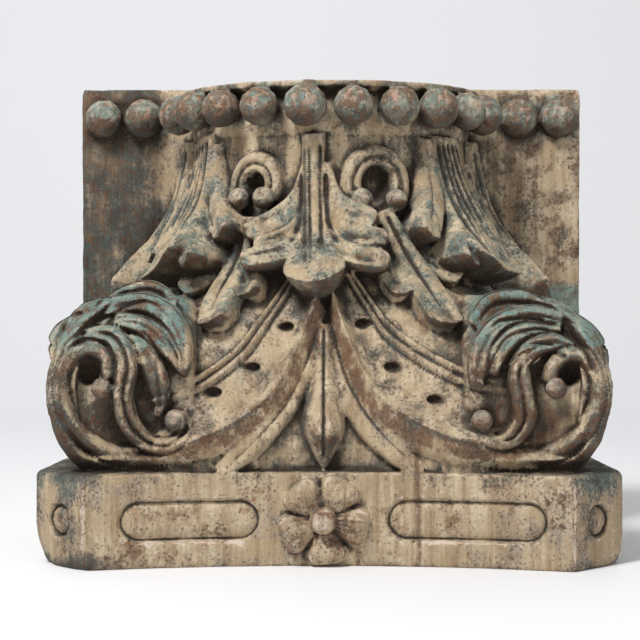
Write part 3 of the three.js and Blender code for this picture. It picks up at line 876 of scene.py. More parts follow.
# Section of a ribbon: share across and lift.
RIBBON_FORM = ((0, 0), (0.015, 5.5), (0.06, 6), (0.075, 2), (0.105, 1.8), (0.12, 5.4), (0.175, 5),
               (0.19, 0.8), (0.4, 0.8), (0.52, 3.2), (0.62, 8), (0.69, 13.5), (0.72, 16), (0.745, 15.5),
               (0.8, 12), (0.9, 9.5), (0.97, 5.5), (1, 2))
# Holes of the ribbons: degrees and hundredths up.
HOLES = ((-12.6, 41), (-19.4, 29.5), (-26, 22.5), (10.3, 42), (16.4, 29.5), (24, 20.5))
# Eyes between the leaves: degrees and hundredths up, then half spread and half rise.
EYES = ((-29.3, 83.5, 7.8, 7.0), (18, 83.8, 9.8, 8.6), (-71, 81, 5.5, 6.5), (69, 82, 5.5, 6.5))


@dataclass
class Bell(Part):
    """Bell with its leaves, ribbons, bud and eyes."""

    form: Form
    hole_radius: float = 5.4
    fillets: tuple = ((0.09, 1.9, 1.8), (0.2, 2.2, 2.0))
    hole_depth: float = 8.0
    eye_depth: float = 6.0
    eye_lift: float = 4.0
    eye_half: float = 3.4
    eye_ball: float = 3.5
    eye_swing: float = 125.0
    eye_pinch: float = 0.8
    ball_paint: float = 1.7

    @property
    def unit(self) -> float:
        """Millimetres in a hundredth of the bell's height."""
        return self.form.s.bell_height / 100

    def body(self) -> Mesh:
        """Plain bell.

        Returns:
            Vertices in millimetres, and faces.
        """
        s = self.form.s
        turn = np.linspace(-90, 90, 181)
        rings = []
        for z in np.linspace(s.abacus_height - OVERLAP, s.neck_height + OVERLAP, 140):
            radius = self.form.body_radius(turn, np.full(len(turn), z))
            x, y = radius * np.sin(np.radians(turn)), s.axis_y - radius * np.cos(np.radians(turn))
            x, y = np.append(x, [x[-1], x[0]]), np.append(y, [s.axis_y + OVERLAP] * 2)
            rings.append(np.column_stack([x, y, np.full(len(x), z)]))
        return loft(np.stack(rings))

    def eye_balls(self, eye: tuple) -> list[np.ndarray]:
        """Centres of the balls at the ends of one eye's arch.

        Args:
            eye: Degrees, hundredths up, half spread and half rise.

        Returns:
            Their places in millimetres.
        """
        turn, share, spread, rise = eye
        swing = math.radians(self.eye_swing)
        aside, low = self.eye_pinch * spread * math.sin(swing), share + rise * math.cos(swing)
        lift = self.eye_lift * self.unit
        return [self.form.on_bell(np.array(turn + way * aside), np.array(low), np.array(lift)) for way in (-1, 1)]

    def eye_arch(self, eye: tuple) -> list[Mesh]:
        """Raised arch of one eye with a ball at each end.

        Args:
            eye: Degrees, hundredths up, half spread and half rise.

        Returns:
            Closed meshes in millimetres.
        """
        turn, share, spread, rise = eye
        swing = np.radians(np.linspace(-self.eye_swing, self.eye_swing, 9))
        rows = tuple((turn + spread * math.sin(a), share + rise * math.cos(a), self.eye_lift, self.eye_half)
                     for a in swing)
        groove = ((0.15, 0.2, 5.0, -0.2, 1.2),)
        meshes = [Gouge().stroke(self.form.on_bell, self.unit, Cut(rows, groove, square=2.8, root=4))]
        return meshes + [ball(spot, self.eye_ball * self.unit) for spot in self.eye_balls(eye)]

    def build(self) -> list[Mesh]:
        """Bell, ribbons, leaves, bud and eyes.

        Returns:
            Closed meshes in millimetres.
        """
        gouge, place = Gouge(), self.form.on_bell
        meshes = [self.body()]
        meshes += [gouge.strip(place, upper, lower, RIBBON_FORM) for upper, lower in RIBBONS]
        meshes += [gouge.stroke(place, self.unit, cut) for cut in LEAVES + LEAFLETS + BUD + BORDERS]
        for eye in EYES:
            meshes += self.eye_arch(eye)
        return meshes

    def around(self, points: np.ndarray) -> tuple[np.ndarray, np.ndarray, np.ndarray]:
        """Degrees round, hundredths up and lift of points over the bell.

        Args:
            points: Skin points in millimetres, one row each.

        Returns:
            Three values for each point.
        """
        s = self.form.s
        turn = np.degrees(np.arctan2(points[:, 0], s.axis_y - points[:, 1]))
        share = (points[:, 2] - s.abacus_height) / self.unit
        radius = np.hypot(points[:, 0], s.axis_y - points[:, 1])
        return turn, share, radius - self.form.body_radius(turn, points[:, 2])

    def flat(self, turn: np.ndarray, share: np.ndarray, lift: np.ndarray) -> np.ndarray:
        """Places on the bell rolled out flat, in millimetres."""
        radius = self.form.body_radius(turn, self.form.s.abacus_height + share * self.unit)
        return np.stack([np.radians(turn) * radius, share * self.unit, lift], 1)

    def vein_lines(self) -> list[Vein]:
        """Veins of the leaves and the single cuts, on the bell rolled out flat.

        Returns:
            Each line with its half width and depth.
        """
        lines = []
        for cut in LEAVES + LEAFLETS + BUD:
            rows, veins = vein_rows(cut, self.unit)
            middle = self.flat(rows[:, 0], rows[:, 1], rows[:, 2] * self.unit)
            radius = self.form.body_radius(rows[:, 0], self.form.s.abacus_height + middle[:, 1])
            shrink = radius / (radius + middle[:, 2])
            lines += [(beside(middle, offset * shrink), wide, deep) for offset, wide, deep in veins]
        for stations, wide, deep in LINES:
            rows = spline(np.array(stations, float), np.linspace(0, 1, 90))
            lines.append((self.flat(rows[:, 0], rows[:, 1], rows[:, 2] * self.unit), wide, deep))
        for upper, lower in RIBBONS:
            ends = [spline(np.array(line, float), np.linspace(0.1, 0.95, 90)) for line in (upper, lower)]
            for share, wide, deep in self.fillets:
                rows = ends[0] * (1 - share) + ends[1] * share
                lines.append((self.flat(rows[:, 0], rows[:, 1], rows[:, 2]), wide, deep))
        return lines

    def cut_depth(self, points: np.ndarray, normals: np.ndarray) -> np.ndarray:
        """Depth of the veins at skin points.

        Args:
            points: Skin points in millimetres, one row each.
            normals: Outward direction at each point.

        Returns:
            Millimetres at each point.
        """
        turn, share, lift = self.around(points)
        facing = normals[:, 0] * np.sin(np.radians(turn)) - normals[:, 1] * np.cos(np.radians(turn))
        return engraved(self.flat(turn, share, lift), facing > 0.1, self.vein_lines())

    def carve(self, points: np.ndarray, normals: np.ndarray) -> np.ndarray:
        """Cuts the veins, punches the holes of the ribbons and hollows the eyes.

        Args:
            points: Skin points in millimetres, one row each.
            normals: Outward direction at each point.

        Returns:
            Shift of each point in millimetres.
        """
        turn, share, lift = self.around(points)
        radius = self.form.body_radius(turn, points[:, 2])
        depth = self.cut_depth(points, normals)
        for t0, s0 in HOLES:
            gap = np.hypot(np.radians(turn - t0) * radius * 0.8, (share - s0) * self.unit * 1.25)
            depth += self.hole_depth * ease((1.2 - gap / self.hole_radius) / 0.7) * (lift < 20)
        for t0, s0, spread, rise in EYES:
            gap = np.hypot((turn - t0) / spread, (share - s0) / rise)
            depth += self.eye_depth * ease((0.75 - gap) / 0.4) * (lift < 5)
        ahead = np.stack([np.sin(np.radians(turn)), -np.cos(np.radians(turn)), 0 * turn], 1)
        return -ahead * (depth * (points[:, 1] < self.form.s.axis_y - 2))[:, None]

    def dress(self, points: np.ndarray, normals: np.ndarray) -> np.ndarray:
        """Ochre along the ribbons' borders, teal and painted shade under the leaves, dirt and painted shade in
        the veins.

        Args:
            points: Skin points in millimetres, one row each.
            normals: Outward direction at each point.

        Returns:
            Teal, ochre and grime of each point, from 0 to 1.
        """
        lines = []
        for upper, lower in RIBBONS:
            ends = [spline(np.array(line, float), np.linspace(0, 0.9, 60)) for line in (upper, lower)]
            rows = ends[0] * 0.14 + ends[1] * 0.86
            lines.append(self.form.on_bell(rows[:, 0], rows[:, 1], rows[:, 2] + 10))
        _, share, lift = self.around(points)
        body = (share > 0) & (share < 100)
        # Painted shade on the downward faces of the lifted leaves, with teal and ochre of old coats there too
        under = ease((0.12 - normals[:, 2]) / 0.3) * ease((lift - 7) / 10) * body
        ochre = near_lines(points, lines, 8.0)
        front = body * (points[:, 1] < self.form.s.axis_y - 4)
        leaves = front * ease((lift - 6) / 6) * ease((share - 40) / 8)
        # Veins darkened by dirt and painted shade, more where they are cut deeper
        veins = 0.95 * ease(self.cut_depth(points, normals) / VEIN_DARK_DEPTH)
        spots = np.array([spot for eye in EYES for spot in self.eye_balls(eye)])
        balls = near_lines(points, [spots], self.eye_ball * self.unit * self.ball_paint)
        grime_and_shade = np.max([under, veins, ochre * 0.6, 0.3 * front, 0.3 * leaves, 0.8 * balls], axis=0)
        teal = np.max([under * 0.8, 0.5 * leaves, 0.3 * front, 0.6 * ochre, 0.8 * balls], axis=0)
        return np.stack([teal, np.maximum(ochre, 0.75 * under), grime_and_shade], 1)


def curl(*stations: tuple, **form: float) -> Cut:
    """Rounded band of a scroll."""
    edges = ((-1.05, 1.7, 2.6), (1.05, 1.7, 2.6))
    return Cut(stations, **({"square": 2.6, "dish": 1.4, "root": 9.0, "tuck": 0.8, "veins": edges} | form))


def blade(*stations: tuple, grooves: tuple = (), **form: float) -> Cut:
    """Leafy lobe of a scroll, hollow between raised edges.

    Args:
        stations: Stations of the stroke.
        grooves: Its grooves.
        form: Other fields of the cut.

    Returns:
        The stroke.
    """
    veins = ((-1.0, 1.8, 3.4), (0.05, 1.5, 2.0), (1.0, 1.8, 3.4))
    base = {"square": 3.6, "dish": 2.4, "root": 9.0, "tuck": 0.7, "roll": 0.16, "veins": veins}
    return Cut(stations, grooves, **(base | form))


# Strokes of each scroll: hundredths of its height across and up, then lift and half width.
SCROLL_CUTS = {
    "left": (
        curl((-35, -37, 5, 6), (-13, -40, 6, 6.5), (8, -39, 8, 6), (24, -29, 9, 5), (33, -14, 9, 4.5),
             (34.5, 2, 9, 4.5), (30, 13, 9, 5), (20, 18, 9, 5), (11, 13, 9, 5), (9, 2, 8, 5)),
        blade((23, 26, 4, 4), (8, 25, 9, 6), (-0.5, 11, 12, 6.5), (1.5, -9, 13, 6), (-3, -25, 12, 6.2),
              (-14, -34.5, 10, 5.4), (-26, -33.5, 8, 4.2), (-33, -25, 7, 3.4), (-30, -16, 6, 2.4),
              veins=((-1.0, 1.7, 3.0), (0.1, 2.0, 5.0), (1.0, 1.7, 3.0)), dish=1.0),
        blade((-4, 28, 5, 4), (-10, 17, 8, 6), (-16, 4, 9, 6.6), (-18, -10, 7, 5), (-17, -19, 5, 2)),
        blade((8, 34, 5, 5), (-8, 31, 11, 5.5), (-20, 22, 12, 6), (-33, 3, 10, 1.6)),
        blade((14, 40, 4, 6), (-6, 43, 11, 6.5), (-22, 36, 14, 6.5), (-31, 20, 14, 5.5), (-33, 6, 11, 2)),
        blade((18, 33, 0, 5), (6, 46, 4, 6), (-10, 50, 5, 6), (-25, 42, 4, 4)),
        blade((39, 12, -3, 4), (38, 24, 1, 6), (30, 31, 3, 6), (20, 33, 0, 4)),
        blade((33, 24, -2, 4), (26, 36, 3, 6), (16, 41, 4, 6), (6, 40, 0, 4)),
    ),
    "right": (
        curl((-35, -38, 5, 6), (-8, -43, 6, 6.5), (14, -38, 8, 6), (28, -26, 9, 5), (35, -10, 9, 4.5),
             (34, 5, 9, 4.5), (28, 14, 9, 5), (19, 15, 9, 5), (12, 9, 9, 5), (10, 0, 8, 4.5)),
        blade((4, 16, 6, 4), (-6, 8, 10, 6), (-5, -8, 11, 7), (-4, -21, 10, 7), (-11, -31, 9, 6),
              (-21, -32, 8, 4.5), (-27, -25, 7, 4), grooves=((0.1, 0.18, 3.0, 0.1, 0.9),), dish=1.0),
        blade((22, 18, 6, 5), (12, 22, 10, 5.5), (0, 18, 11, 6), (-9, 7, 8, 5)),
        blade((16, 26, 6, 5), (-4, 27, 10, 6), (-16, 18, 10, 6), (-21, 4, 7, 3.5)),
        blade((18, 33, 4, 6), (0, 36, 10, 7), (-18, 30, 13, 7), (-28, 14, 14, 7), (-30, -4, 10, 3.5)),
        blade((12, 38, 0, 5), (-4, 43, 6, 8), (-20, 41, 6, 8), (-30, 30, 5, 5)),
        blade((38, 5, -3, 5), (35, 20, 0, 7), (25, 31, 2, 7), (15, 35, 0, 5)),
    ),
    "plain": (
        curl((-34, -37, 4, 6), (-2, -43, 6, 6), (28, -24, 9, 5), (33, 8, 9, 5), (18, 17, 9, 5),
             (9, 2, 8, 5)),
        blade((14, 26, 5, 5), (0, 14, 10, 6), (-2, -18, 10, 6), (-15, -32, 8, 5), (-28, -27, 7, 4),
              dish=1.5),
        blade((18, 34, 4, 6), (-6, 38, 10, 7), (-26, 24, 12, 7), (-32, 4, 9, 4)),
    ),
}


@dataclass
class Scroll(Part):
    """Corner block with a scroll on its front face and a plainer one on its side."""

    form: Form
    side: Side
    eye: tuple = (21.0, 4.0, 6.0, 8.0)
    floor_depth: float = 3.5
    hook_ball: tuple = (12.5, -2.5, 10.0, 6.0)
    tendril_ball: tuple = (-27.0, -21.0, 5.5, 6.3)
    ball_paint: float = 1.844
    floor_middle: tuple = (156.0, 138.0)
    floor_half: tuple = (43.0, 50.0)
    eye_lift: float = 6.0
    eye_reach: float = 16.0

    def block(self) -> Mesh:
        """Block with rim ridges and the band between them.

        Returns:
            Vertices in millimetres, and faces.
        """
        s, way = self.form.s, self.side.value
        steps = np.sin(np.linspace(math.asin(-0.9), math.pi / 2, 110))
        rings = []
        for z in np.clip(s.scroll_middle + s.scroll_rise * steps, s.abacus_height - OVERLAP, None):
            reach = float(self.form.scroll_reach(z))
            rise = max(0.0, z - s.scroll_centre) / s.scroll_rise
            inner = s.scroll_spread - s.scroll_reach * math.sqrt(max(0.05, 1 - rise * rise))
            x = np.linspace(inner, reach - 2 * s.rim_band, 14)
            sunk = float(ease((z - 82) / 12))
            face = np.stack([x, reach - (reach - self.form.scroll_face(x, z)) * sunk], 1)
            t = np.linspace(0, 1, 12)[1:, None]
            ridge = np.array([reach - s.rim_band, reach])
            cove = face[-1] + (ridge - face[-1]) * np.hstack([t ** 0.8, ease(t)])
            turn = np.linspace(0, 1, 9)[1:-1, None]
            band = ridge + (ridge[::-1] - ridge) * turn + 1.5 * np.sin(math.pi * turn)
            half = np.vstack([face, cove])
            plan = np.vstack([[s.neck_radius / 2] * 2, half, band, half[::-1, ::-1]])
            rings.append(np.column_stack([way * plan[:, 0], s.axis_y - plan[:, 1], np.full(len(plan), z)]))
        rings = [ring for i, ring in enumerate(rings) if i == 0 or ring[0, 2] > rings[i - 1][0, 2] + 1e-6]
        return loft(np.stack(rings))

    def build(self) -> list[Mesh]:
        """Block, carved strokes and the balls of the curls.

        Returns:
            Closed meshes in millimetres.
        """
        gouge, scale = Gouge(), self.form.s.scroll_height / 100
        front = self.form.on_scroll(self.side.value, False)
        turned = self.form.on_scroll(self.side.value, True)
        meshes = [self.block()]
        meshes += [gouge.stroke(front, scale, cut) for cut in SCROLL_CUTS[self.side.name.lower()]]
        meshes += [gouge.stroke(turned, scale, cut) for cut in SCROLL_CUTS["plain"]]
        return meshes + [ball(spot, radius) for spot, radius in self.balls()]

    def balls(self) -> list[tuple[np.ndarray, float]]:
        """Centre and radius of the balls of both faces' curls, in millimetres.

        Returns:
            One pair for each ball.
        """
        scale = self.form.s.scroll_height / 100
        places = [self.form.on_scroll(self.side.value, turned) for turned in (False, True)]
        return [
            (place(np.array(u), np.array(v), np.array(lift * scale)), radius * scale)
            for u, v, lift, radius in (self.tendril_ball, self.hook_ball) for place in places
        ]

    def vein_lines(self, turned: bool) -> list[Vein]:
        """Veins of one face's strokes, across, up and out in millimetres.

        Args:
            turned: Whether it is the face on the side of the capital.

        Returns:
            Each line with its half width and depth.
        """
        scale, lines = self.form.s.scroll_height / 100, []
        for cut in SCROLL_CUTS["plain" if turned else self.side.name.lower()]:
            rows, veins = vein_rows(cut, scale)
            lines += [(beside(rows[:, :3] * scale, offset), wide, deep) for offset, wide, deep in veins]
        return lines

    def seen(self, points: np.ndarray, turned: bool) -> tuple[np.ndarray, np.ndarray]:
        """Distances aside and forward of points, as one faces the front or the side."""
        aside, forward = points[:, 0] * self.side.value, self.form.s.axis_y - points[:, 1]
        return (forward, aside) if turned else (aside, forward)

    def on_face(
        self, points: np.ndarray, normals: np.ndarray, turned: bool
    ) -> tuple[np.ndarray, np.ndarray]:
        """Places across, up and out on one scroll face, and which points look out of it.

        Args:
            points: Skin points in millimetres, one row each.
            normals: Outward direction at each point.
            turned: Whether it is the face on the side of the capital.

        Returns:
            Rows of places, and a mark for each point.
        """
        s = self.form.s
        x, forward = self.seen(points, turned)
        outward = normals[:, 0] * self.side.value if turned else -normals[:, 1]
        lift = forward - self.form.scroll_face(x, points[:, 2])
        flat = np.stack([x - s.scroll_spread + s.face_shift, points[:, 2] - s.scroll_centre, lift], 1)
        return flat, (outward > 0.15) & (lift > -6)

    def carve(self, points: np.ndarray, normals: np.ndarray) -> np.ndarray:
        """Cuts the veins and bores the eye of each scroll.

        Args:
            points: Skin points in millimetres, one row each.
            normals: Outward direction at each point.

        Returns:
            Shift of each point in millimetres.
        """
        scale = self.form.s.scroll_height / 100
        shift = np.zeros_like(points)
        u, v, radius, depth = self.eye
        for turned in (False, True):
            flat, bare = self.on_face(points, normals, turned)
            place = self.form.on_scroll(self.side.value, turned)
            centre = place(np.array(u), np.array(v), np.array(self.eye_lift))
            inward = unit(place(np.array(u), np.array(v), np.array(-1.0)) - centre)
            facing = normals @ inward
            spots = np.stack([self.seen(points, turned)[0], points[:, 2]], 1)
            a, b = ((spots - self.floor_middle) / self.floor_half).T
            floor = ease((1 - np.hypot(a, b)) / 0.3) * ease((5 - np.abs(flat[:, 2])) / 3) * (facing < -0.3)
            shift += (self.floor_depth * floor)[:, None] * inward
            gap = points - centre
            deep = gap @ inward
            aside = np.linalg.norm(gap - deep[:, None] * inward, axis=1)
            near = (np.abs(deep) < self.eye_reach) & (facing < 0.2)
            shift += engraved(flat, bare, self.vein_lines(turned))[:, None] * inward
            amount = depth * ease((1.1 - aside / (radius * scale)) / 0.45) * near
            shift += amount[:, None] * inward
        return shift

    def dress(self, points: np.ndarray, normals: np.ndarray) -> np.ndarray:
        """Teal on the leafy tops and the balls, dirt and painted shade in the veins.

        Args:
            points: Skin points in millimetres, one row each.
            normals: Outward direction at each point.

        Returns:
            Teal, ochre and grime of each point, from 0 to 1.
        """
        x, z = points[:, 0] * self.side.value, points[:, 2]
        top = ease((x - 100) / 15) * ease((z - 150) / 25) * ease((225 - z) / 10)
        body = ease((x - 90) / 20) * (z > 74) * (z < 222)
        outer = ease((normals[:, 0] * self.side.value - 0.35) / 0.4) * (x > 190)
        grime_and_shade = body * np.maximum(0.12, 0.42 * outer)
        # Veins darkened by dirt and painted shade, more where they are cut deeper
        for turned in (False, True):
            cuts = engraved(*self.on_face(points, normals, turned), self.vein_lines(turned))
            grime_and_shade = np.maximum(grime_and_shade, 0.66 * ease(cuts / VEIN_DARK_DEPTH))
        for spot, radius in self.balls():
            near = near_lines(points, [spot[None, :]], radius * self.ball_paint)
            top, grime_and_shade = np.maximum(top, near), np.maximum(grime_and_shade, 0.9 * near)
        teal = np.max([0.85 * top, 0.65 * outer * body, 0.5 * body], axis=0)
        return np.stack([teal, 0.45 * body, grime_and_shade], 1)


@dataclass
class Neck(Part):
    """Collar and plate over the bell, with beads between them."""

    form: Form
    finish: bpy.types.Material
    seed: int = 7
    facets: int = 2
    uneven: float = 0.05
    flare: float = 0.3
    cove: float = 8.0
    cove_rise: float = 2.0
    bead_lift: float = 4.0

    def half_round(self, radius: float, low: float, high: float) -> Mesh:
        """Upright half round block.

        Args:
            radius: Its radius in millimetres.
            low: Height of its foot.
            high: Height of its top.

        Returns:
            Vertices in millimetres, and faces.
        """
        s = self.form.s
        turn = np.radians(np.linspace(-90, 90, 91))
        rings = []
        for z in np.linspace(low, high, 12):
            up = z - low
            reach = min(radius, max(s.neck_radius + self.flare * up, radius - self.cove + self.cove_rise * up))
            x, y = reach * np.sin(turn), s.axis_y - reach * np.cos(turn)
            x, y = np.append(x, [x[-1], x[0]]), np.append(y, [s.axis_y + OVERLAP] * 2)
            rings.append(np.column_stack([x, y, np.full(len(x), z)]))
        return loft(np.stack(rings))

    def bead_centres(self) -> np.ndarray:
        """Centres of the beads round the neck and on the board.

        Returns:
            One row for each bead.
        """
        s = self.form.s
        turn = np.radians((np.arange(s.bead_count) - (s.bead_count - 1) / 2) * s.bead_step)
        ring = np.stack([s.bead_ring * np.sin(turn), s.axis_y - s.bead_ring * np.cos(turn)], 1)
        first, second = s.board_bead_first, s.board_bead_first + s.board_bead_gap
        flat = np.array([[x, s.axis_y - self.bead_lift] for x in (-second, -first, first, second)])
        spots = np.vstack([ring, flat])
        return np.column_stack([spots, np.full(len(spots), s.bead_height)])

    def bead_tree(self) -> bpy.types.NodeTree:
        """Geometry nodes that set one hand cut bead on each point.

        Returns:
            The tree.
        """
        tree = bpy.data.node_groups.new("Beads", "GeometryNodeTree")
        face = tree.interface
        face.new_socket("Points", in_out="INPUT", socket_type="NodeSocketGeometry")
        for name, kind in (("Bead radius", "NodeSocketFloat"), ("Unevenness", "NodeSocketFloat"),
                           ("Facets", "NodeSocketInt"), ("Seed", "NodeSocketInt"),
                           ("Finish", "NodeSocketMaterial")):
            face.new_socket(name, in_out="INPUT", socket_type=kind)
        face.new_socket("Beads", in_out="OUTPUT", socket_type="NodeSocketGeometry")
        graph = Graph(tree)
        given = graph.node("NodeGroupInput", {}, {})
        sphere = graph.node("GeometryNodeMeshIcoSphere", {}, {
            "Radius": given.outputs["Bead radius"], "Subdivisions": given.outputs["Facets"]})
        spin = graph.node("FunctionNodeRandomValue", {"data_type": "FLOAT_VECTOR"}, {
            0: (0.0, 0.0, 0.0), 1: (6.28, 6.28, 6.28), "Seed": given.outputs["Seed"]})
        more, less = (
            graph.node("ShaderNodeMath", {"operation": kind}, {0: 1.0, 1: given.outputs["Unevenness"]})
            for kind in ("ADD", "SUBTRACT")
        )
        size = graph.node("FunctionNodeRandomValue", {"data_type": "FLOAT"}, {
            2: less.outputs[0], 3: more.outputs[0], "Seed": given.outputs["Seed"]})
        placed = graph.node("GeometryNodeInstanceOnPoints", {}, {
            "Points": given.outputs["Points"], "Instance": sphere.outputs["Mesh"],
            "Rotation": spin.outputs[0], "Scale": size.outputs[1]})
        plain = graph.node("GeometryNodeRealizeInstances", {}, {"Geometry": placed.outputs["Instances"]})
        painted = graph.node("GeometryNodeSetMaterial", {}, {
            "Geometry": plain.outputs["Geometry"], "Material": given.outputs["Finish"]})
        graph.node("NodeGroupOutput", {"is_active_output": True}, {0: painted.outputs["Geometry"]})
        return tree

    def beads(self) -> Mesh:
        """All beads as one mesh.

        Returns:
            Vertices in millimetres, and faces.
        """
        s = self.form.s
        seeds = mesh_object("bead_points", (self.bead_centres(), []))
        tree = self.bead_tree()
        modifier = seeds.modifiers.new("Beads", "NODES")
        modifier.node_group = tree
        values = {"Bead radius": s.bead_radius * MM, "Unevenness": self.uneven,
                  "Facets": self.facets, "Seed": self.seed, "Finish": self.finish}
        for socket in tree.interface.items_tree:
            if socket.in_out == "INPUT" and socket.name in values:
                modifier[socket.identifier] = values[socket.name]
        settled(seeds)
        data = seeds.data
        points = points_of(data)
        faces = [list(face.vertices) for face in data.polygons]
        bpy.data.objects.remove(seeds)
        bpy.data.meshes.remove(data)
        return points, faces

    def build(self) -> list[Mesh]:
        """Collar, plate and beads.

        Returns:
            Closed meshes in millimetres.
        """
        s = self.form.s
        return [
            self.half_round(s.collar_radius, s.neck_height - OVERLAP, s.collar_top + OVERLAP),
            self.half_round(s.plate_radius, s.collar_top, s.plate_top),
            self.beads(),
        ]

    def dress(self, points: np.ndarray, normals: np.ndarray) -> np.ndarray:
        """Teal and ochre left on the beads, some dirt on them and painted shade under them.

        Args:
            points: Skin points in millimetres, one row each.
            normals: Outward direction at each point.

        Returns:
            Teal, ochre and grime of each point, from 0 to 1.
        """
        spots = self.bead_centres()
        near = ease(near_lines(points, [spots], self.form.s.bead_radius * 1.3) * 2.2 - 0.2)
        # Painted shade on the beads' downward faces, over a little dirt on all of them
        down = ease((0.3 - normals[:, 2]) / 0.9)
        return np.stack([near * 0.85, near * 0.7, near * (0.12 + 0.85 * down)], 1)


@dataclass
class Board(Part):
    """Flat board that closes the back."""

    form: Form
    seams: tuple = (-96.0, 58.0)
    seam_depth: float = 1.6
    seam_half: float = 1.3
    edge: float = 1.5
    edge_height: float = 3.0

    def build(self) -> list[Mesh]:
        """Board with slightly eased edges.

        Returns:
            Closed meshes in millimetres.
        """
        s = self.form.s
        half = s.board_width / 2
        low, high = s.abacus_height - OVERLAP, s.height
        rings = []
        for z in np.linspace(low, high, 60):
            inset = self.edge * (1 - float(ease(min(1.0, (high - z) / self.edge_height))))
            w, y0, y1 = half - inset, s.axis_y + inset, s.depth / 2 - inset
            rings.append([[-w, y0, z], [w, y0, z], [w, y1, z], [-w, y1, z]])
        return [loft(np.array(rings))]

    def carve(self, points: np.ndarray, normals: np.ndarray) -> np.ndarray:
        """Cuts the seams between the planks on the back.

        Args:
            points: Skin points in millimetres, one row each.
            normals: Outward direction at each point.

        Returns:
            Shift of each point in millimetres.
        """
        back = normals[:, 1] > 0.6
        depth = sum(self.seam_depth * np.exp(-(((points[:, 0] - x) / self.seam_half) ** 2)) for x in self.seams)
        shift = np.zeros_like(points)
        shift[:, 1] = -depth * back
        return shift

    def dress(self, points: np.ndarray, normals: np.ndarray) -> np.ndarray:
        """Teal low on the board's front, and darker over its left half.

        Args:
            points: Skin points in millimetres, one row each.
            normals: Not used.

        Returns:
            Teal, ochre and grime of each point, from 0 to 1.
        """
        x, y, z = points.T
        front = (y > self.form.s.axis_y - 6) & (y < self.form.s.axis_y + 4) & (np.abs(x) > 150)
        left = ease((-x - 140) / 20)
        teal = front * left * (0.45 + 0.4 * ease((300 - z) / 120))
        return np.stack([teal, 0.0 * x, front * (0.14 + 0.95 * left)], 1)


class Graph:
    """Builder of nodes in one tree."""

    def __init__(self, tree: bpy.types.NodeTree) -> None:
        """Keeps the tree."""
        self.tree = tree

    def node(self, kind: str, settings: dict, inputs: dict) -> bpy.types.Node:
        """Adds a node.

        Args:
            kind: Node type.
            settings: Properties of the node, set before its sockets.
            inputs: Values, sockets or wires by socket name or number.

        Returns:
            The node.
        """
        made = self.tree.nodes.new(kind)
        for name, value in settings.items():
            setattr(made, name, value)
        for key, value in inputs.items():
            socket = made.inputs[key]
            if isinstance(value, Wire):
                value = value.socket
            if isinstance(value, bpy.types.NodeSocket):
                self.tree.links.new(value, socket)
            else:
                socket.default_value = value
        return made

    def noise(self, place: bpy.types.NodeSocket, scale: float, detail: float, rough: float) -> "Wire":
        """Noise from 0 to 1 over a place vector.

        Args:
            place: Place vector.
            scale: Scale of the noise.
            detail: Its detail.
            rough: Its roughness.

        Returns:
            The noise.
        """
        made = self.node("ShaderNodeTexNoise", {"noise_dimensions": "3D"}, {
            "Vector": place, "Scale": scale, "Detail": detail, "Roughness": rough})
        return Wire(self, made.outputs["Fac"])

    def stretched(self, place: bpy.types.NodeSocket, scale: tuple, shift: tuple) -> bpy.types.NodeSocket:
        """Place vector scaled and shifted along its axes."""
        return self.node("ShaderNodeVectorMath", {"operation": "MULTIPLY_ADD"}, {
            0: place, 1: scale, 2: shift}).outputs[0]

    def attribute(self, name: str) -> "Wire":
        """Number kept on the mesh points."""
        return Wire(self, self.node("ShaderNodeAttribute", {"attribute_name": name}, {}).outputs["Fac"])

    def colour(
        self, amount: "Wire", low: tuple | bpy.types.NodeSocket, high: tuple | bpy.types.NodeSocket
    ) -> bpy.types.NodeSocket:
        """Mix of two colours.

        Args:
            amount: Share of the second colour.
            low: First colour.
            high: Second colour.

        Returns:
            The mixed colour.
        """
        low, high = ((*c, 1.0) if isinstance(c, tuple) else c for c in (low, high))
        made = self.node("ShaderNodeMix", {"data_type": "RGBA"}, {0: amount, 6: low, 7: high})
        return made.outputs[2]


class Wire:
    """Number in a node tree that can be reckoned with."""

    def __init__(self, graph: Graph, socket: bpy.types.NodeSocket) -> None:
        """Keeps the socket and its graph."""
        self.graph = graph
        self.socket = socket

    def reckon(self, kind: str, *values: "Wire | float") -> "Wire":
        """Result of one sum on this number and others."""
        made = self.graph.node("ShaderNodeMath", {"operation": kind}, dict(enumerate(values)))
        return Wire(self.graph, made.outputs[0])

    def __add__(self, other: "Wire | float") -> "Wire":
        """Sum."""
        return self.reckon("ADD", self, other)

    def __radd__(self, other: float) -> "Wire":
        """Sum, other first."""
        return self.reckon("ADD", other, self)

    def __sub__(self, other: "Wire | float") -> "Wire":
        """Difference."""
        return self.reckon("SUBTRACT", self, other)

    def __rsub__(self, other: float) -> "Wire":
        """Difference, other first."""
        return self.reckon("SUBTRACT", other, self)

    def __mul__(self, other: "Wire | float") -> "Wire":
        """Product."""
        return self.reckon("MULTIPLY", self, other)

    def __rmul__(self, other: float) -> "Wire":
        """Product, other first."""
        return self.reckon("MULTIPLY", other, self)

    def __truediv__(self, other: "Wire | float") -> "Wire":
        """Quotient."""
        return self.reckon("DIVIDE", self, other)

    def __rtruediv__(self, other: float) -> "Wire":
        """Quotient, other first."""
        return self.reckon("DIVIDE", other, self)

    def least(self, other: "Wire | float") -> "Wire":
        """Smaller of two numbers."""
        return self.reckon("MINIMUM", self, other)

    def size(self) -> "Wire":
        """Number without its sign."""
        return self.reckon("ABSOLUTE", self)

    def step(self, low: float, high: float) -> "Wire":
        """Smooth step from 0 at low to 1 at high.

        Args:
            low: Number where the result is 0.
            high: Number where the result is 1.

        Returns:
            The step.
        """
        made = self.graph.node("ShaderNodeMapRange", {"interpolation_type": "SMOOTHSTEP"}, {
            "Value": self, "From Min": low, "From Max": high, "To Min": 0.0, "To Max": 1.0})
        return Wire(self.graph, made.outputs["Result"])


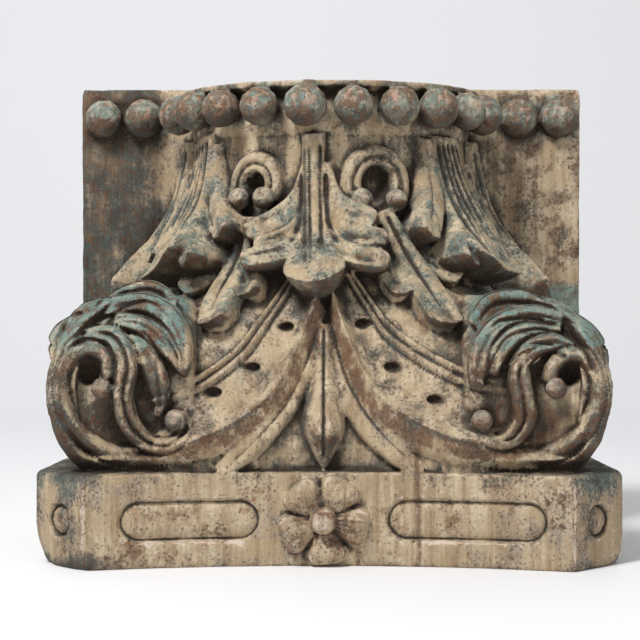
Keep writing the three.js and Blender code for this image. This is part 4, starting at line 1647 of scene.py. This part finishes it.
@dataclass(frozen=True)
class OldPaint:
    """Worn cream paint on carved wood, with dirt and painted shade in the hollows and wood bared on the edges."""

    cream: tuple = (0.43, 0.33, 0.205)
    chalk: tuple = (0.66, 0.56, 0.40)
    tan: tuple = (0.23, 0.14, 0.072)
    stone: tuple = (0.165, 0.155, 0.15)
    bare: tuple = (0.36, 0.155, 0.068)
    ochre: tuple = (0.17, 0.088, 0.046)
    teal: tuple = (0.12, 0.215, 0.195)
    bright: tuple = (0.10, 0.33, 0.34)
    # Brown of dirt, also laid on as painted shade in the hollows
    dirt: tuple = (0.070, 0.046, 0.030)
    shade_black: tuple = (0.022, 0.015, 0.010)
    white: tuple = (0.74, 0.67, 0.56)
    slate: tuple = (0.060, 0.075, 0.072)
    rust: tuple = (0.075, 0.024, 0.014)
    check_at: float = 0.070
    check_sway: float = 0.008
    check_half: float = 0.003
    check_top: tuple = (0.088, 0.10)

    def build(self) -> bpy.types.Material:
        """Makes the material.

        Returns:
            The material.
        """
        made = bpy.data.materials.new("old_paint")
        made.use_nodes = True
        tree = made.node_tree
        tree.nodes.clear()
        g = Graph(tree)
        place = g.node("ShaderNodeTexCoord", {}, {}).outputs["Object"]
        apart = g.node("ShaderNodeSeparateXYZ", {}, {0: place})
        x, z = Wire(g, apart.outputs[0]), Wire(g, apart.outputs[2])
        hollow, crest, shade = (g.attribute(name) for name in ("hollow", "crest", "shade"))
        teal, ochre, grime_and_shade = (g.attribute(name) for name in ("teal", "ochre", "grime_and_shade"))
        cloud = g.noise(g.stretched(place, (1, 1, 1), (3, 1, 7)), 11.0, 4.0, 0.6)
        patch = g.noise(g.stretched(place, (1, 1, 1), (9, 4, 2)), 38.0, 5.0, 0.65)
        spot = g.noise(g.stretched(place, (1, 1, 1), (5, 8, 1)), 130.0, 4.0, 0.7)
        dust = g.noise(g.stretched(place, (1, 1, 1), (2, 2, 9)), 430.0, 2.0, 0.6)
        grain = g.noise(g.stretched(place, (260, 260, 16), (0, 0, 4)), 1.0, 3.0, 0.6)
        streak = g.noise(g.stretched(place, (70, 70, 7), (2, 7, 3)), 1.0, 4.0, 0.65)

        # Cream paint with chalky, tan and stone coloured patches
        paint = g.colour((cloud * 0.6 + patch * 0.6).step(0.45, 0.78), self.cream, self.chalk)
        paint = g.colour((streak * 0.8 + grain * 0.4).step(0.44, 0.82) * 0.8, paint, self.tan)
        paint = g.colour((cloud * 0.5 + patch * 0.5 + spot * 0.3).step(0.62, 0.82) * 0.85, paint, self.tan)
        paint = g.colour((1 - cloud).step(0.46, 0.66) * patch.step(0.42, 0.62) * 0.6, paint, self.stone)
        # Teal and ochre of older coats, wood bared on the edges, pale scratches
        green = (teal * 0.8 + patch * 1.0 + cloud * 0.3 + spot * 0.7 + streak * 0.3 - 1.42).step(0.0, 0.45)
        colour = g.colour(green * 0.85, paint, self.teal)
        vivid = (teal * 0.3 + cloud * 0.5 + patch * 0.6 + dust * 0.4 + spot * 0.9 - 1.42).step(0.0, 0.2)
        colour = g.colour(vivid * 0.85, colour, self.bright)
        worn = (ochre * 0.4 + patch * 1.1 + spot * 1.1 - 1.2).step(0.0, 0.3)
        colour = g.colour(worn * 0.85, colour, self.ochre)
        bared = (crest * 0.7 + spot * 1.0 + patch * 0.9 - 1.3).step(0.0, 0.25)
        colour = g.colour(bared * (0.85 - teal * 0.5), colour, self.bare)
        pale = (crest * 1.2 - patch * 1.0 + dust * 0.4 - 0.3).step(0.0, 0.4)
        colour = g.colour(pale * (0.6 - teal * 0.45), colour, self.white)
        # Drying check right of the middle
        off = (x - self.check_at + (streak - 0.5) * self.check_sway).size() / self.check_half
        seam = (1 - off).step(0.0, 0.9) * (1 - z.step(*self.check_top))
        colour = g.colour(seam * (0.2 + spot * 0.9), colour, self.rust)
        # Dirt and painted shade in the hollows, near-black painted shade in the deepest, and a fine crackle
        mottle = (patch - 0.5) * 1.8 + (cloud - 0.5) * 1.3 + (spot - 0.5) * 1.1 + (streak - 0.5) * 1.3
        dirt_and_shade = hollow * 1.1 + shade * 0.8 + grime_and_shade * 1.15 + mottle - 0.24
        dirt_and_shade_tone = g.colour((spot * 0.8 + patch * 0.5 + teal * 0.12).step(0.6, 0.72), self.dirt, self.slate)
        fleck = (cloud * 0.3 + dust * 0.4 + spot * 0.7 + ochre * 0.16).step(0.76, 0.84)
        dirt_and_shade_tone = g.colour(fleck * 0.9, dirt_and_shade_tone, self.ochre)
        colour = g.colour(dirt_and_shade.step(0.0, 1.15) * 0.93, colour, dirt_and_shade_tone)
        # Near-black painted shade where occlusion, hollowness and dirt add up
        deep = shade * 1.1 + hollow * 0.7 + grime_and_shade * 0.8 + (spot - 0.5) * 1.0 + (patch - 0.5) * 0.8
        colour = g.colour(deep.step(0.75, 1.35) * 0.92, colour, self.shade_black)
        crackle = (dust + grime_and_shade * 0.08 + hollow * 0.1 + (patch - 0.5) * 0.6).step(0.59, 0.69)
        colour = g.colour(crackle * 0.7, colour, self.dirt)
        light = (1 - dust).step(0.56, 0.68) * (1 - spot).step(0.4, 0.6) * (1 - dirt_and_shade.step(0.0, 0.9)) * 0.3
        colour = g.colour(light * (1 - ochre), colour, self.white)

        rough = (0.66 + 0.25 * patch + 0.1 * dirt_and_shade.step(0.0, 0.8)).least(0.97)
        relief = grain * 0.8 + spot * 0.55 + dust * 0.3 + patch * 0.4 - bared * 0.4 - seam * 0.4
        bump = g.node("ShaderNodeBump", {}, {"Strength": 0.8, "Distance": 0.002, "Height": relief})
        face = g.node("ShaderNodeBsdfPrincipled", {}, {
            "Base Color": colour, "Roughness": rough, "Specular IOR Level": 0.3, "Normal": bump.outputs[0]})
        g.node("ShaderNodeOutputMaterial", {}, {0: face.outputs[0]})
        return made


@dataclass(frozen=True)
class Wear:
    """What tools and years left on the surface, in millimetres."""

    seeds: tuple = (11, 23)
    swells: tuple = ((0.4, 17.0), (0.2, 6.5))
    ripple: tuple = (0.09, 3.2)
    grain: float = 0.16
    grain_cell: tuple = (2.6, 2.6, 30.0)
    chip: float = 1.1
    chip_cells: tuple = (4.6, 11.0)
    lost: float = 0.15
    calm: float = 0.7


@dataclass
class Capital:
    """The whole carved block as one skin."""

    parts: list[Part]
    finish: bpy.types.Material
    wear: Wear = Wear()
    voxel: float = 1.05
    rough_voxel: float = 2.6
    most_triangles: int = 190000
    rays: int = 14
    quick_rays: int = 6
    ray_turn: float = 2.399963
    ray_spread: float = 0.92
    ray_start: float = 0.0006
    shade_reach: float = 0.055
    play: float = 0.05
    thing: bpy.types.Object | None = field(default=None, init=False)

    def build(self) -> bpy.types.Object:
        """Runs the parts together, carves, wears and thins the skin.

        Returns:
            The object.
        """
        meshes = []
        for part in self.parts:
            made = part.build()
            LOG.info("%s, closed shapes: %d", type(part).__name__, len(made))
            meshes += made
        self.thing = mesh_object("carved_capital", joined(meshes))
        voxel = self.voxel
        modified(self.thing, "REMESH", {"mode": "VOXEL", "voxel_size": voxel * MM, "adaptivity": 0.0})
        LOG.info("skin: %d points", len(self.thing.data.vertices))
        self.shape()
        count = sum(len(face.vertices) - 2 for face in self.thing.data.polygons)
        if count > self.most_triangles:
            modified(self.thing, "DECIMATE", {"ratio": self.most_triangles / count})
        self.close()
        set_points(self.thing.data, self.inside(points_of(self.thing.data)))
        return self.thing

    def shape(self) -> None:
        """Softens the skin, cuts the sunk work and wears the surface."""
        wear, data = self.wear, self.thing.data
        web = Web(data)
        points = web.soften(points_of(data), 1)
        set_points(data, points)
        normals = normals_of(data)
        points = points + sum(part.carve(points, normals) for part in self.parts)
        round_points = web.soften(points, 6)
        proud = ((points - round_points) * normals).sum(1)
        points = points + 0.35 * (web.soften(points, 2) - points)
        noise, fine = (Lattice(seed) for seed in wear.seeds)
        swell = sum(depth * noise.at(points, cell) for depth, cell in wear.swells)
        swell = swell + wear.ripple[0] * fine.at(points, wear.ripple[1])
        grain = wear.grain * fine.at(points, wear.grain_cell)
        small, broad = wear.chip_cells
        chip = wear.chip * ease((noise.at(points, small) + 0.6 * fine.at(points, broad) - 0.5) / 0.3)
        chip = chip * ease((proud - 0.12) / 0.35)
        plain = (normals[:, 1] > 0.97) | (normals[:, 2] < -0.97) & (points[:, 2] < 2)
        points = points + normals * ((swell + grain) * (1 - wear.calm * plain) - chip - wear.lost)[:, None]
        set_points(data, self.inside(points))

    def inside(self, points: np.ndarray) -> np.ndarray:
        """Points kept within the box of the solid."""
        low, high = (np.array(corner) / MM for corner in CAD_BOX)
        return np.clip(points, low + self.play, high - self.play)

    def close(self) -> None:
        """Merges doubled points and turns all faces outward."""
        work = bmesh.new()
        work.from_mesh(self.thing.data)
        bmesh.ops.remove_doubles(work, verts=work.verts, dist=1e-6)
        bmesh.ops.triangulate(work, faces=work.faces)
        bmesh.ops.recalc_face_normals(work, faces=work.faces)
        work.to_mesh(self.thing.data)
        work.free()

    def shade(self, points: np.ndarray, normals: np.ndarray) -> np.ndarray:
        """How much of the open air each point is shut off from.

        Args:
            points: Points in metres.
            normals: Outward directions.

        Returns:
            0 in the open to 1 in a deep hollow.
        """
        faces = [list(face.vertices) for face in self.thing.data.polygons]
        tree = BVHTree.FromPolygons(points.tolist(), faces)
        count = self.rays
        turn = np.arange(count) * self.ray_turn
        height = np.sqrt(1 - (np.arange(count) + 0.5) / count * self.ray_spread)
        flat = np.sqrt(1 - height ** 2)
        across = unit(np.cross(normals, [0.3, 0.5, 0.81]))
        along = np.cross(normals, across)
        total = np.zeros(len(points))
        starts = points + normals * self.ray_start
        for a, h, f in zip(turn, height, flat):
            ways = across * (f * math.cos(a)) + along * (f * math.sin(a)) + normals * h
            for i, (start, way) in enumerate(zip(starts.tolist(), ways.tolist())):
                distance = tree.ray_cast(start, way, self.shade_reach)[3]
                if distance is not None:
                    total[i] += 1 - distance / self.shade_reach
        return total / count

    def dress(self) -> None:
        """Reads hollows, crests and shade off the skin and paints it."""
        data = self.thing.data
        points, normals, web = points_of(data), normals_of(data), Web(data)
        near, wide = web.soften(points, 5), web.soften(points, 45)
        fine = ((near - points) * normals).sum(1)
        broad = ((wide - points) * normals).sum(1)
        shade = web.soften(self.shade(points * MM, normals), 1)
        paints = np.max([part.dress(points, normals) for part in self.parts], axis=0)
        values = {
            "hollow": ease((fine - 0.05) / 0.8) * 0.65 + ease((broad - 0.3) / 4.0) * 0.6,
            "crest": ease((-fine - 0.25) / 0.8) * (normals[:, 1] < 0.5) * (normals[:, 2] > -0.6),
            "shade": shade,
            "teal": paints[:, 0],
            "ochre": paints[:, 1],
            "grime_and_shade": paints[:, 2],
        }
        for name, column in values.items():
            layer = data.attributes.new(name, "FLOAT", "POINT")
            layer.data.foreach_set("value", np.clip(column, 0, 1).astype(np.float32))
        data.materials.clear()
        data.materials.append(self.finish)
        data.shade_smooth()
        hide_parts("capital")
        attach(self.thing, "root")
        LOG.info("%s: %d points, %d triangles", self.thing.name, len(data.vertices), len(data.polygons))


@dataclass
class Setting:
    """Pale table and wall, soft lights and the camera."""

    target: tuple = (-0.008, 0.0, 0.189)
    distance: float = 1.492
    azimuth: float = 0.8
    elevation: float = 1.5
    lens: float = 101.25
    pale: tuple = (0.84, 0.84, 0.85)

    def build(self) -> None:
        """Makes all of it."""
        self.ground()
        self.light("key_light", (-0.9, -1.3, 2.2), 0.55, 64.0)
        self.light("fill_light", (1.8, -1.8, 0.8), 1.8, 9.0)
        self.light("wall_light", (0.0, 0.7, 2.6), 1.6, 7.0, (0.0, 1.9, 0.4))
        self.world()
        bpy.context.scene.view_settings.view_transform = "Standard"
        self.camera()

    def ground(self) -> None:
        """Table that curves up into the wall behind."""
        turn = np.radians(np.linspace(0, 90, 25))
        y = np.concatenate([[-3.0], 1.2 + 0.8 * np.sin(turn), [2.0]])
        z = np.concatenate([[0.0], 0.8 - 0.8 * np.cos(turn), [4.0]])
        points = np.vstack([np.column_stack([np.full(len(y), x), y, z]) for x in (-4.0, 4.0)]) / MM
        count = len(y)
        faces = [[i, i + count, i + count + 1, i + 1] for i in range(count - 1)]
        sweep = mesh_object("pale_ground", (points, faces))
        sweep.data.shade_smooth()
        made = bpy.data.materials.new("pale_ground")
        made.use_nodes = True
        face = made.node_tree.nodes["Principled BSDF"]
        face.inputs["Base Color"].default_value = (*self.pale, 1.0)
        face.inputs["Roughness"].default_value = 0.7
        sweep.data.materials.append(made)

    def light(self, name: str, spot: tuple, size: float, power: float, aim: tuple | None = None) -> None:
        """Square soft light.

        Args:
            name: Its name.
            spot: Where it stands.
            size: Length of its side.
            power: Its power in watts.
            aim: What it faces, the capital if none is given.
        """
        lamp = bpy.data.lights.new(name, "AREA")
        lamp.energy, lamp.size = power, size
        thing = bpy.data.objects.new(name, lamp)
        thing.location = spot
        way = Vector(aim or self.target) - Vector(spot)
        thing.rotation_euler = way.to_track_quat("-Z", "Y").to_euler()
        bpy.context.scene.collection.objects.link(thing)

    def world(self) -> None:
        """Even pale light from all around."""
        world = bpy.data.worlds.new("pale_air")
        world.use_nodes = True
        ground = world.node_tree.nodes["Background"]
        ground.inputs["Color"].default_value = (0.95, 0.97, 1.0, 1.0)
        ground.inputs["Strength"].default_value = 0.36
        bpy.context.scene.world = world

    def camera(self) -> None:
        """Camera at the picture's place."""
        turn, rise = math.radians(self.azimuth), math.radians(self.elevation)
        way = Vector((math.sin(turn) * math.cos(rise), -math.cos(turn) * math.cos(rise), math.sin(rise)))
        lens = bpy.data.cameras.new("camera")
        lens.lens, lens.sensor_width = self.lens, 36.0
        thing = bpy.data.objects.new("camera", lens)
        thing.location = Vector(self.target) + way * self.distance
        thing.rotation_euler = (-way).to_track_quat("-Z", "Y").to_euler()
        bpy.context.scene.collection.objects.link(thing)
        bpy.context.scene.camera = thing


def main() -> None:
    """Builds the capital and its setting."""
    form, paint = Form(Sizes()), OldPaint().build()
    parts = [
        Board(form), Abacus(form), Bell(form), Scroll(form, Side.LEFT), Scroll(form, Side.RIGHT),
        Neck(form, paint),
    ]
    capital = Capital(parts, paint)
    capital.build()
    capital.dress()
    Setting().build()


if __name__ == "__main__":
    main()
